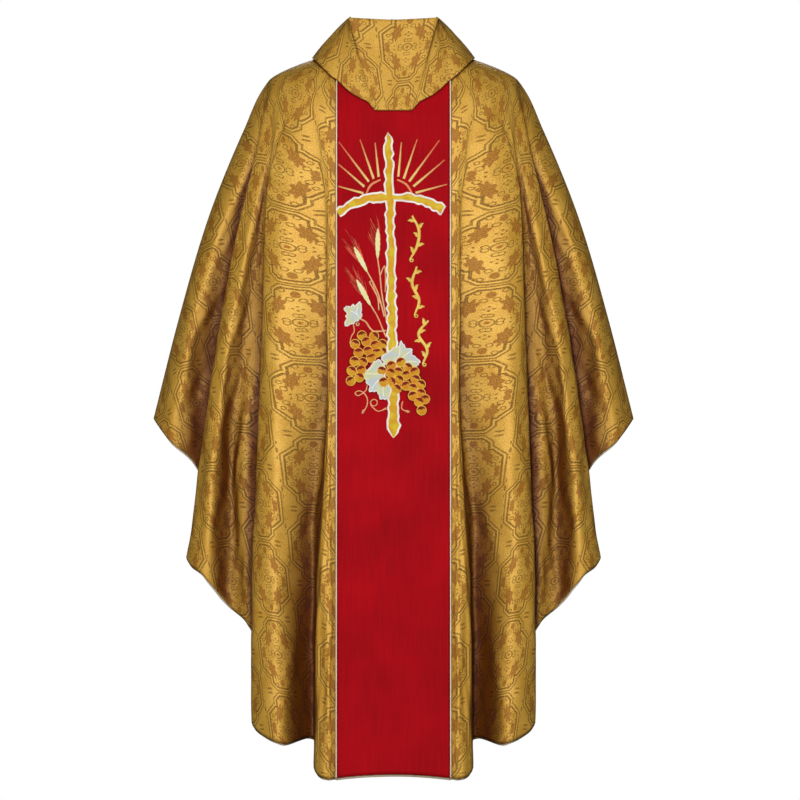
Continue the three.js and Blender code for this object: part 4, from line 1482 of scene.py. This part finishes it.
def hatch(outline: Line, angle: float, pitch: float, height: float, arch: float) -> list[Strand]:
    """Parallel stitches that fill an outline.

    Args:
        outline: its corners, in millimetres.
        angle: direction of the stitches, in degrees.
        pitch: distance between two stitches.
        height: of the stitches at the outline.
        arch: how much higher they are in the middle.

    Returns:
        The stitches.
    """
    turn = math.radians(angle)
    ahead, aside = np.array([math.cos(turn), math.sin(turn)]), np.array([-math.sin(turn), math.cos(turn)])
    corners = np.array(outline, float)
    a, b = corners @ aside, np.roll(corners, -1, axis=0) @ aside
    u, v = corners @ ahead, np.roll(corners, -1, axis=0) @ ahead
    strands = []
    for level in np.arange(a.min() + pitch / 2, a.max(), pitch):
        hit = (a <= level) != (b <= level)
        cuts = np.sort(u[hit] + (level - a[hit]) / (b[hit] - a[hit]) * (v[hit] - u[hit]))
        for start, end in zip(cuts[::2], cuts[1::2]):
            if end - start < 0.5:
                continue
            share = np.linspace(0, 1, max(3, int((end - start) / 2.5) + 2))[:, None]
            flat = ahead * (start + (end - start) * share) + aside * level
            rise = height + arch * np.minimum(1, np.minimum(share, 1 - share) * (end - start) / 2.5)
            strands.append(np.concatenate([flat, rise], axis=1))
    return strands


@dataclass
class Embroidery:
    """The machine embroidery of one band; its sizes and points are in millimetres.

    Attributes:
        face: front or back.
        finishes: the materials.
        pitch: distance between two stitches.
        radius: of a thread.
        seed: of the small irregularities.
        edge: width of the cross's white edge.
        point: how far from a beam's pointed end its white edge starts to narrow.
        berry: radius of a berry.
        pads: padding that waits for its stitches.
    """

    face: Face
    finishes: Finishes
    pitch: float = 0.55
    radius: float = 0.3
    seed: int = 7
    edge: float = 3.3
    point: float = 9.0
    berry: float = 8.3
    pads: list[Object] = field(default_factory=list)

    def __post_init__(self) -> None:
        """Starts the random numbers and the shared node tree."""
        self.random = np.random.default_rng(self.seed)
        self.tree = thread_tree()
        self.prefix = "" if self.face is FRONT else "back_"

    def on_band(self, points: Array) -> Array:
        """Places points of the band's own plane on the hanging band.

        Args:
            points: x, y and height, in millimetres.

        Returns:
            The same points in metres.
        """
        side = self.face.side.value
        x = -side * points[:, 0] * MM
        z = points[:, 1] * MM * math.cos(math.atan(self.face.slope))
        depth = self.face.depth_at(z) + band_relief(x, z) + points[:, 2] * MM
        return np.stack([x, side * depth, z], axis=1)

    def sew(
        self,
        name: str,
        strands: list[Strand],
        key: str,
        extra: bool = False,
        radius: float = 0.0,
        sides: int = 5,
    ) -> None:
        """Makes threads of the strands.

        Args:
            name: the solid's name, or the piece's own if it is an extra.
            strands: what to sew.
            key: the finish.
            extra: whether the piece has no solid.
            radius: of the thread, if not the usual one.
            sides: of the thread's section.
        """
        thread = self.finishes.materials[key]
        settings = {"Radius": (radius or self.radius) * MM, "Sides": sides, "Thread": thread}
        piece = grown(name, [self.on_band(strand) for strand in strands], self.tree, settings)
        pads, self.pads = self.pads, []
        nodes = () if extra else (name,)
        settle(joined(piece, pads) if pads else piece, self.finishes.slot_of(key), *nodes)

    def pad(self, left: Array, right: Array, low: float, high: float, key: str) -> None:
        """Lays a thin padding between two edges, under the stitches sewn next.

        Args:
            left: points of one edge, in millimetres.
            right: as many points of the other.
            low: height of its under side.
            high: height of its middle.
            key: the finish.
        """
        share = np.linspace(0, 1, 5)
        flat = left[:, None] * (1 - share)[None, :, None] + right[:, None] * share[None, :, None]
        crown = low + 0.1 + (high - low - 0.1) * 4 * share * (1 - share)
        layers = []
        for height in (crown, np.full(5, low)):
            rise = np.broadcast_to(height[None, :, None], (*flat.shape[:2], 1))
            layers.append(self.on_band(np.concatenate([flat, rise], axis=2).reshape(-1, 3)))
        faces = shell_faces(len(left), 5, False)
        self.pads.append(mesh_object("padding", np.concatenate(layers), faces, self.finishes.materials[key]))

    def stroke(self, line: Line, widths: Sequence[float], height: float = 0.45) -> list[Strand]:
        """A narrow line of satin stitches.

        Args:
            line: its middle, in millimetres.
            widths: at even places along it.
            height: of the stitches' ends.

        Returns:
            The stitches.
        """
        middle = resampled(line, self.pitch)
        aside = beside_line(middle)
        half = np.interp(np.linspace(0, 1, len(middle)), np.linspace(0, 1, len(widths)), widths)[:, None] / 2
        half = half * (1 + self.random.uniform(-0.06, 0.06, half.shape))
        arch = 0.25 + 0.12 * float(np.max(widths))
        return satin(middle + aside * half, middle - aside * half, height, arch, 1, 3)

    def strokes(self, *lines: tuple[Line, Sequence[float]]) -> list[Strand]:
        """The stitches of several narrow lines, each given with its widths."""
        return [strand for line, widths in lines for strand in self.stroke(line, widths)]

    def rough(self, count: int) -> Array:
        """An angular random line: how far a rough edge strays at each of count stitches."""
        spacing, size = 7.5, 2.3
        knots = max(3, int(count * self.pitch / spacing) + 2)
        values = self.random.uniform(-size, size, knots)
        return np.interp(np.linspace(0, knots - 1, count), np.arange(knots), values)

    def beam(self, line: Line, halves: Sequence[tuple[float, float]]) -> tuple[Array, ...]:
        """The edges of one rough beam of the cross.

        Args:
            line: its middle.
            halves: pairs of share along the beam and half its width; an end under 1 is pointed.

        Returns:
            Outer left, inner left, inner right and outer right edges.
        """
        middle = resampled(line, self.pitch)
        aside = beside_line(middle)
        share = np.linspace(0, 1, len(middle))
        half = np.interp(share, [h[0] for h in halves], [h[1] for h in halves])
        calm = np.clip(np.minimum(share, 1 - share) * 40, 0, 1)
        left = half + self.rough(len(middle)) * calm
        right = half + self.rough(len(middle)) * calm
        left, right = np.maximum(left, 0)[:, None], np.maximum(right, 0)[:, None]
        taper = np.ones(len(middle))
        for end, from_end in ((halves[0], share), (halves[-1], 1 - share)):
            if end[1] < 1:
                run = from_end * (len(middle) * self.pitch)
                taper = np.minimum(taper, np.clip(run / self.point, 0.12, 1))
        rim = self.edge * taper[:, None]
        return (
            middle + aside * (left + rim),
            middle + aside * left,
            middle - aside * right,
            middle - aside * (right + rim),
        )

    def cross(self) -> None:
        """The cross of two rough beams with a white edge."""
        upright = self.beam(
            [(-9.5, -130.5), (-8.4, -148), (-6.8, -240), (-3.6, -360), (-2.6, -480), (0.6, -600), (0.2, -657)],
            ((0, 0.2), (0.03, 4.0), (0.05, 4.6), (0.2, 5.0), (0.6, 5.4), (0.9, 6.2), (0.97, 8.0), (1, 0.3)),
        )
        arm = self.beam(
            [(-95.3, -270), (-68, -253), (-36, -243.5), (0, -243), (36, -245), (62, -253), (84, -264.5)],
            ((0, 4.4), (0.1, 5.0), (0.5, 5.0), (0.85, 5.6), (1, 7.0)),
        )
        border = []
        for one, other in ((upright, arm), (arm, upright)):
            for outer, inner in ((one[0], one[1]), (one[3], one[2])):
                self.pad(outer, inner, 0.15, 0.5, "white")
                sewn = satin(outer, inner, 0.45, 0.35, 1, 2)
                border += [strand for strand in sewn if not inside(strand[1, :2], other)]
        border += self.end_cap(arm)
        self.sew(f"{self.prefix}cross_border", border, "white", sides=4)

        fill = []
        for low, beam in ((0.6, arm), (0.75, upright)):
            self.pad(beam[1], beam[2], 0.2, low + 0.5, "gold")
            fill += satin(beam[1], beam[2], low, 0.75, 3, 4)
        self.sew(f"{self.prefix}cross_fill", fill, "gold", sides=4)

    def end_cap(self, beam: tuple[Array, ...]) -> list[Strand]:
        """White stitches across a beam's blunt far end."""
        wide = 2.3
        left, right = beam[1][-1], beam[2][-1]
        out = left + right - beam[1][-2] - beam[2][-2]
        out = out / np.linalg.norm(out) * wide
        share = np.linspace(-0.15, 1.15, int(np.linalg.norm(left - right) * 1.3 / self.pitch))[:, None]
        inner = left * (1 - share) + right * share
        return satin(inner + out, inner - out * 0.05, 0.5, 0.35, 1, 2)

    def sun(self) -> None:
        """The rising sun: two arcs and ten rays."""
        arcs = {
            "left": [(-46.7, -235.8), (-39, -221.5), (-22, -211.8)],
            "right": [(6.2, -211.8), (21.7, -220), (32.1, -235.5)],
        }
        for hand, line in arcs.items():
            self.sew(f"sun_arc_{hand}", self.stroke(line, (2.4, 3.6, 3.6, 2.4)), "arc")
        rays = (
            ((-51.6, -235.5), (-94.5, -223.5)),
            ((-50.1, -224.1), (-94.5, -185.2)),
            ((-42.3, -215.5), (-93.8, -147.0)),
            ((-34.1, -210.4), (-57.5, -143.0)),
            ((-25.4, -207.1), (-31.6, -148.2)),
            ((8.4, -206.7), (13.6, -147.4)),
            ((17.6, -210.4), (40.7, -142.2)),
            ((26.9, -215.2), (79.2, -143.7)),
            ((34.3, -223.7), (88.1, -177.8)),
            ((38.0, -234.8), (92.1, -220.0)),
        )
        for i, (near, far) in enumerate(rays):
            ray = self.stroke([near, halfway(near, far), far], (4.0, 3.3, 2.6, 1.9))
            self.sew(f"sun_ray_{i + 1}", ray, "ray")

    def wheat(self) -> None:
        """Three ears with red awns, their stems and two thin leaf blades."""
        ears = (
            ((-27.3, -348.0), (-26.7, -296.0), (-36, -272)),
            ((-45.2, -371.0), (-67.8, -328.0), (-88, -297)),
            ((-39.4, -429.0), (-63.5, -384.5), (-79, -357)),
        )
        for i, (foot, tip, beyond) in enumerate(ears):
            foot, tip, beyond = (np.array(p, float) for p in (foot, tip, beyond))
            self.sew(f"wheat_ear_{i + 1}", self.ear(foot, tip), "wheat")
            self.sew(f"wheat_awns_{i + 1}", self.awns(foot, tip, beyond), "awn", extra=True, radius=0.36)
        stems = (
            [(-27.3, -347), (-23.2, -376.7), (-19.8, -409.4), (-11.6, -455.8)],
            [(-45.6, -370), (-35.3, -388.7), (-26, -409.4), (-15.7, -448)],
            [(-39.4, -428), (-27.5, -448.2), (-17.2, -473), (-12.2, -484)],
        )
        blades = (
            [(-25, -437), (-27.5, -415), (-35, -400), (-40.6, -388), (-37.5, -387), (-33, -400), (-23, -425)],
            [(-14.2, -406), (-13.6, -385), (-15.4, -361), (-18.5, -366), (-22.6, -377)],
        )
        sewn = [(line, (2.0, 2.2, 2.4)) for line in stems] + [(line, (1.7, 1.9, 1.6)) for line in blades]
        self.sew("wheat_stems", self.strokes(*sewn), "stem")

    def ear(self, foot: Array, tip: Array) -> list[Strand]:
        """Kernels of one ear, as slanted stitches on both sides of its middle."""
        ahead = tip - foot
        size = np.linalg.norm(ahead)
        ahead = ahead / size
        aside = np.array([-ahead[1], ahead[0]])
        strands = []
        for f in np.arange(0, 1, self.pitch * 0.9 / size):
            kernel = 0.82 + 0.18 * abs(math.sin(f * math.pi * 6))
            half = 4.4 * kernel * math.sin(math.pi * min(1, 0.08 + f * 0.92)) ** 0.7
            for hand in (-1, 1):
                root = foot + ahead * size * f
                end = root + aside * hand * half + ahead * half * 0.9
                share = np.linspace(0, 1, 4)[:, None]
                rise = 0.95 - 0.45 * share**2
                strands.append(np.concatenate([root * (1 - share) + end * share, rise], axis=1))
        return strands

    def awns(self, foot: Array, tip: Array, beyond: Array) -> list[Strand]:
        """Fine red bristles that spray past an ear's tip."""
        ahead = (tip - foot) / np.linalg.norm(tip - foot)
        aside = np.array([-ahead[1], ahead[0]])
        spread = beyond - tip
        strands = []
        for k in range(26):
            hand = -1 if k % 2 else 1
            share = self.random.uniform(0.35, 1.0)
            start = foot + (tip - foot) * share + aside * hand * 4.0 * math.sin(math.pi * share) ** 0.7
            reach = self.random.uniform(0.55, 1.0)
            end = start + spread * reach + aside * hand * self.random.uniform(0.5, 7.5)
            bend = (start + end) / 2 + aside * hand * self.random.uniform(0.6, 1.8)
            line = resampled([tuple(start), tuple(bend), tuple(end)], 2.0)
            strands.append(np.concatenate([line, np.full((len(line), 1), 0.5)], axis=1))
        return strands

    def leaf(self, name: str, outline: Line, angle: float, height: float, veins: Sequence[Line]) -> None:
        """A vine leaf filled with stitches, with a raised edge and veins.

        Args:
            name: the piece's name.
            outline: its corners.
            angle: direction of its stitches.
            height: of the leaf over the band.
            veins: its veins' lines.
        """
        outline = self.toothed(outline)
        strands = hatch(outline, angle, self.pitch, height, 0.5)
        strands += hatch(outline, angle + 70, self.pitch * 1.4, height - 0.25, 0.1)
        self.sew(name, strands, "leaf", radius=0.32)
        edge = []
        for start, end in zip(outline, [*outline[1:], outline[0]]):
            edge += self.stroke([start, halfway(start, end), end], (2.2, 1.8), height + 0.25)
        for vein in veins:
            edge += self.stroke(vein, (0.9, 1.3), height + 0.5)
        self.sew(f"{name}_edge", edge, "white", extra=True)

    def toothed(self, outline: Line) -> list[Point]:
        """Adds one small tooth to each long side of an outline whose corners run round its middle."""
        middle = np.mean(np.array(outline, float), axis=0)
        points: list[Point] = []
        for start, end in zip(outline, [*outline[1:], outline[0]]):
            points.append(start)
            a, b = np.array(start, float), np.array(end, float)
            if np.linalg.norm(b - a) < 6.5:
                continue
            out = (a + b) / 2 - middle
            out = out / np.linalg.norm(out)
            low = a * 0.62 + b * 0.38 - out * self.random.uniform(0.5, 1.2)
            peak = a * 0.42 + b * 0.58 + out * self.random.uniform(0.9, 1.8)
            points += [(float(low[0]), float(low[1])), (float(peak[0]), float(peak[1]))]
        return points

    def leaves(self) -> None:
        """The small leaf on its stalk and the two lobes of the large one."""
        small = [
            (-57.7, -422.3), (-55.6, -429.1), (-54.9, -435.5), (-56.6, -451.6), (-64.1, -455.8),
            (-70.5, -460.1), (-82.3, -464.4), (-83.4, -458), (-79.1, -451.6), (-82.3, -447.3),
            (-79.1, -444.1), (-84.9, -433.8), (-78, -430.8), (-72.7, -431.7), (-69.5, -427), (-66.3, -430.8), (-62, -427),
        ]
        veins = [[(-58, -449), (-66, -442), (-74, -438)], [(-62, -446), (-63, -438), (-60, -430)]]
        self.leaf("small_leaf", small, 40, 0.5, veins)
        upper = [
            (-20.3, -516.8), (-12.8, -512.5), (-5.3, -507.2), (1.1, -501.8), (9.7, -499.7), (12.9, -490.1),
            (20.4, -502.9), (32.1, -505), (30, -513.6), (37.5, -517.9), (46, -526.4), (39.6, -532.8),
            (35.4, -537.1), (-16, -529.6),
        ]
        veins = [[(2, -527), (10, -514), (11, -500)], [(8, -524), (20, -515), (29, -508)]]
        self.leaf("upper_leaf", upper, 25, 1.7, [*veins, [(10, -528), (26, -525), (40, -526)]])
        lower = [
            (-26.7, -522.1), (-36.3, -530.7), (-39.5, -536), (-54.1, -546.7), (-48.1, -555.3),
            (-44.9, -563.9), (-40.6, -566), (-40.6, -577.8), (-28.8, -575.6), (-24.5, -583.1),
            (-22.4, -590.6), (-9.6, -588.4), (-5.3, -579.9), (-4.2, -574.5), (-14, -556.2), (-16, -531),
        ]
        veins = [[(-19, -548), (-34, -547), (-50, -546)], [(-19, -553), (-30, -562), (-37, -573)]]
        self.leaf("lower_leaf", lower, -35, 1.7, [*veins, [(-17, -556), (-18, -572), (-17, -586)]])

    def grapes(self, name: str, centres: Line) -> None:
        """A bunch of padded berries, each with a dark crescent and a light outline.

        Args:
            name: the piece's name.
            centres: of its berries, the lowest layer first.
        """
        radius = self.berry
        body, shade, rope = [], [], []
        for k, (x, y) in enumerate(centres):
            lift = 1.6 + 0.5 * (k % 3)
            turn = np.linspace(0, 2 * math.pi, 25)
            ring = np.stack([x + radius * np.cos(turn), y + radius * np.sin(turn)], axis=1)
            self.berry_pad(x, y, radius * 0.96, lift)
            slant = 62 + self.random.uniform(-14, 14)
            for strand in hatch([tuple(p) for p in ring[:-1]], slant, self.pitch, lift, 0):
                away = np.hypot(strand[:, 0] - x, strand[:, 1] - y) / radius
                strand[:, 2] = lift + 1.5 * np.sqrt(np.clip(1 - away**2, 0, 1))
                body.append(strand)
            rope += satin(ring, np.array([x, y]) + (ring - [x, y]) * 0.83, lift + 0.3, 0.35, 1, 2)
            rope.append(np.concatenate([ring, np.full((25, 1), lift + 0.35)], axis=1))
            start = self.random.uniform(-0.9, 0.7)
            for f in np.linspace(0.03, 0.97, 28):
                angle = start + f * 2.8
                span = np.linspace(0.86 - 0.74 * math.sin(math.pi * f), 0.86, 6)[:, None]
                flat = np.array([x, y]) + radius * span * np.array([[math.cos(angle), math.sin(angle)]])
                rise = lift + 0.38 + 1.5 * np.sqrt(np.clip(1 - span**2, 0, 1))
                shade.append(np.concatenate([flat, rise], axis=1))
        self.sew(name, body, "grape", sides=4)
        self.sew(f"{name}_shade", shade, "shade", extra=True, radius=0.45)
        self.sew(f"{name}_outline", rope, "rope", extra=True, radius=0.42)

    def berry_pad(self, x: float, y: float, radius: float, lift: float) -> None:
        """A low dome under one berry's stitches."""
        rings, sides = 5, 14
        turn = np.arange(sides) * 2 * math.pi / sides
        layers = []
        for share in np.linspace(0.12, 1, rings):
            height = np.full(sides, lift - 0.1 + 1.4 * math.sqrt(max(0.0, 1 - share**2)))
            reach = radius * share
            layers.append(np.stack([x + reach * np.cos(turn), y + reach * np.sin(turn), height], axis=1))
        layers.append(layers[-1] * [1, 1, 0] + [0, 0, lift - 0.6])
        points = np.concatenate([*layers, [[x, y, lift + 1.31], [x, y, lift - 0.6]]])
        k, n = np.arange(sides), (np.arange(sides) + 1) % sides
        faces = []
        for r in range(len(layers) - 1):
            a, b = r * sides + k, r * sides + n
            faces += [np.stack([a, a + sides, b], axis=-1), np.stack([b, a + sides, b + sides], axis=-1)]
        crown, base = len(layers) * sides, (len(layers) - 1) * sides
        faces.append(np.stack([np.full(sides, crown), k, n], axis=-1))
        faces.append(np.stack([np.full(sides, crown + 1), base + n, base + k], axis=-1))
        material = self.finishes.materials["grape"]
        self.pads.append(mesh_object("padding", self.on_band(points), np.concatenate(faces), material))

    def vine(self) -> None:
        """The stalk with its branch, the tendrils and the three sprigs."""
        branch = [(-57, -452), (-48, -457), (-41, -467), (-35, -473), (-24, -473.5), (-13, -472)]
        knot = [polar((-61.5, -461), 2.6, angle) for angle in range(80, 420, 40)]
        stalk = (
            (branch, (2.2, 2.6, 2.6, 2.0)),
            ([(-69, -460), (-67.5, -474), (-72, -482), (-75, -494)], (1.2, 1.8, 1.2)),
            (knot, (1.4, 1.6)),
        )
        loop = [
            (-45.1, -566), (-46.6, -574), (-54, -581), (-61.4, -584.4), (-65.9, -580), (-60, -576),
            (-52.5, -578.5), (-45.1, -588.8), (-45.5, -601), (-51, -611),
        ]
        left = ((loop, (1.3, 1.9, 1.9)), ([(-50.6, -608), (-53.5, -615)], (1.5, 4.5, 2.0)))
        middle = (
            ([polar((-33.3, -596.3), 5.6, angle) for angle in range(150, 530, 30)], (1.4, 1.8)),
            ([(-39.2, -593.3), (-38.9, -600), (-34, -606), (-26, -611), (-14, -607)], (1.6, 1.8)),
            ([(-18, -608), (-11.8, -606)], (1.5, 4.2)),
        )
        right = (
            ([(13.5, -600), (16, -594), (14, -606), (18, -609.5), (24, -611.8)], (1.2, 1.8)),
            ([(20.5, -610.5), (28, -612.5)], (2.0, 4.5, 2.0)),
        )
        pieces = {"vine_stalk": stalk, "tendril_left": left, "tendril_middle": middle, "tendril_right": right}
        for name, lines in pieces.items():
            self.sew(name, self.strokes(*lines), "stem")

    def sprigs(self) -> None:
        """Three upright vine sprigs beside the cross, each with small leaves and a curl."""
        lines = (
            [(32, -274), (44, -300), (40, -328), (28, -350)],
            [(40, -362), (32, -392), (44, -420), (36, -446)],
            [(60, -455), (43, -478), (58, -506), (50, -530)],
        )
        for i, line in enumerate(lines):
            strands = self.stroke(line, (2.8, 4.8, 4.8, 2.6))
            spine = resampled(line, 1.0)
            aside = beside_line(spine)
            ahead = np.stack([aside[:, 1], -aside[:, 0]], axis=1)
            for k, share in enumerate(np.linspace(0.14, 0.86, 5)):
                hand = 1 if (k + i) % 2 else -1
                j = int(share * (len(spine) - 1))
                root = spine[j] + aside[j] * hand * 1.2
                end = root + aside[j] * hand * 9.5 - ahead[j] * 7.0
                bend = (root + end) / 2 + ahead[j] * -2.2
                strands += self.stroke([tuple(root), tuple(bend), tuple(end)], (1.6, 6.0, 4.4, 0.8))
            last = spine[-1]
            curl = [polar((last[0] + 3.4, last[1] - 0.6), 3.4 - 0.25 * n, 170 + 45 * n) for n in range(9)]
            strands += self.stroke(curl, (1.8, 1.2))
            self.sew(f"sprig_{i + 1}", strands, "stroke")

    def build(self) -> None:
        """Sews everything on this band."""
        self.cross()
        if self.face is BACK:
            return
        self.sun()
        self.wheat()
        self.leaves()
        self.vine()
        left = [
            (-54, -480.6), (-33.3, -482), (-19.2, -495.4), (-66, -495.4), (-46.6, -491), (-31.8, -497),
            (-20, -506.5), (-60, -510), (-43.7, -507), (-28.8, -510), (-66.6, -525), (-52.5, -526.5),
            (-38.2, -519), (-71.8, -541.4), (-55.5, -540), (-73.3, -559), (-58.5, -552.8),
        ]
        self.grapes("grapes_left", left)
        right = [
            (-20, -541.4), (-3.6, -532.5), (12.7, -526.5), (24.6, -535.4), (-5, -545), (8, -543),
            (21.6, -549), (36.4, -543), (-17, -560.7), (-3.6, -560), (9.7, -557), (37.9, -556), (5.3, -572.5),
            (21.6, -567), (46.8, -565), (33.5, -571), (46.8, -580), (33.5, -584.4), (54.2, -590.3),
            (43.8, -594.8), (48.3, -609.6),
        ]
        self.grapes("grapes_right", right)
        self.sprigs()


def halfway(a: Point, b: Point) -> Point:
    """The middle of two points."""
    return (a[0] + b[0]) / 2, (a[1] + b[1]) / 2


def polar(centre: Point, radius: float, degrees: float) -> Point:
    """A point round a centre."""
    turn = math.radians(degrees)
    return centre[0] + radius * math.cos(turn), centre[1] + radius * math.sin(turn)


def inside(point: Array, beam: tuple[Array, ...]) -> bool:
    """Whether a point lies within a beam's fill."""
    middle = (beam[1] + beam[2]) / 2
    nearest = int(np.argmin(np.linalg.norm(middle - point, axis=1)))
    half = np.linalg.norm(beam[1][nearest] - beam[2][nearest]) / 2
    return bool(np.linalg.norm(point - middle[nearest]) < half + 0.2)


# ------------------------------------------------------------------ the studio
@dataclass
class Studio:
    """The white floor and wall, the lights and the camera.

    Attributes:
        floor_z: height of the floor.
        drum_radius: of the round wall.
        drum_top: its height.
        world: strength of the light from all round.
        view_side: side of the camera's square view, at the vestment.
        lens: in millimetres, on a sensor of sensor millimetres.
        sensor: width of the sensor.
        aim: centre of the view.
    """

    floor_z: float = -1.45
    drum_radius: float = 20.0
    drum_top: float = 30.0
    world: float = 0.05
    view_side: float = 1.376
    lens: float = 400.0
    sensor: float = 36.0
    aim: Place = (0.0112, -0.10, -0.590)

    def build(self) -> None:
        """Builds the studio."""
        self.drum()
        self.lamp("key", (-0.35, -4.4, 0.5), 0.9, 168)
        self.lamp("fill", (1.5, -4.2, -0.2), 1.4, 22)
        self.lamp("back", (0.0, 4.5, 1.9), 1.0, 70)
        self.camera()

    def drum(self) -> None:
        """The white floor and round wall; wide enough for a camera on any side."""
        sides = 64
        turn = np.arange(sides) * 2 * math.pi / sides
        rim = np.stack([self.drum_radius * np.cos(turn), self.drum_radius * np.sin(turn)], axis=1)
        low, high = (np.column_stack([rim, np.full(sides, z)]) for z in (self.floor_z, self.drum_top))
        points = np.concatenate([low, high, [[0.0, 0.0, self.floor_z]]])
        k = np.arange(sides)
        n = (k + 1) % sides
        floor, wall = ([k, n, np.full(sides, 2 * sides)], ([n, k, k + sides], [n, k + sides, n + sides]))
        faces = np.concatenate([np.stack(corners, axis=-1) for corners in (floor, *wall)])
        white, black = (1.0, 1.0, 1.0, 1.0), (0.0, 0.0, 0.0, 1.0)
        material = bpy.data.materials.new("stage_white")
        material.use_nodes = True
        shader = material.node_tree.nodes["Principled BSDF"]
        set_inputs(shader, Base_Color=black, Specular_IOR_Level=0.0)
        set_inputs(shader, Emission_Color=white, Emission_Strength=1.0)
        piece = mesh_object("studio_drum", points, faces, material)
        piece.visible_diffuse = False
        piece.visible_glossy = False
        piece.visible_shadow = False
        world = bpy.data.worlds.new("studio")
        bpy.context.scene.world = world
        world.use_nodes = True
        set_inputs(world.node_tree.nodes["Background"], Color=white, Strength=self.world)

    def lamp(self, name: str, place: Place, size: float, power: float) -> None:
        """One square soft light, turned to the middle of the vestment.

        Args:
            name: its name.
            place: where it hangs.
            size: its side.
            power: in watts.
        """
        light = bpy.data.lights.new(name, "AREA")
        light.size = size
        light.energy = power
        lamp = bpy.data.objects.new(name, light)
        lamp.location = place
        target = Vector((0.0, 0.0, -0.55))
        lamp.rotation_euler = (target - Vector(place)).to_track_quat("-Z", "Y").to_euler()
        bpy.context.scene.collection.objects.link(lamp)

    def camera(self) -> None:
        """The camera, straight in front."""
        data = bpy.data.cameras.new("camera")
        data.lens = self.lens
        data.sensor_width = self.sensor
        eye = bpy.data.objects.new("camera", data)
        x, y, z = self.aim
        eye.location = (x, y - self.view_side * self.lens / self.sensor, z)
        eye.rotation_euler = (math.pi / 2, 0, 0)
        bpy.context.scene.collection.objects.link(eye)
        bpy.context.scene.camera = eye
        bpy.context.scene.view_settings.view_transform = "Standard"


def main() -> None:
    """Builds the vestment and the studio."""
    logging.basicConfig(level=logging.INFO, format="%(message)s")
    finishes = Finishes((-0.006, -0.239))
    for face in (FRONT, BACK):
        Cloth(face, finishes).build()
    Collar(finishes).build()
    for face in (FRONT, BACK):
        Embroidery(face, finishes).build()
    Studio().build()


if __name__ == "__main__":
    main()
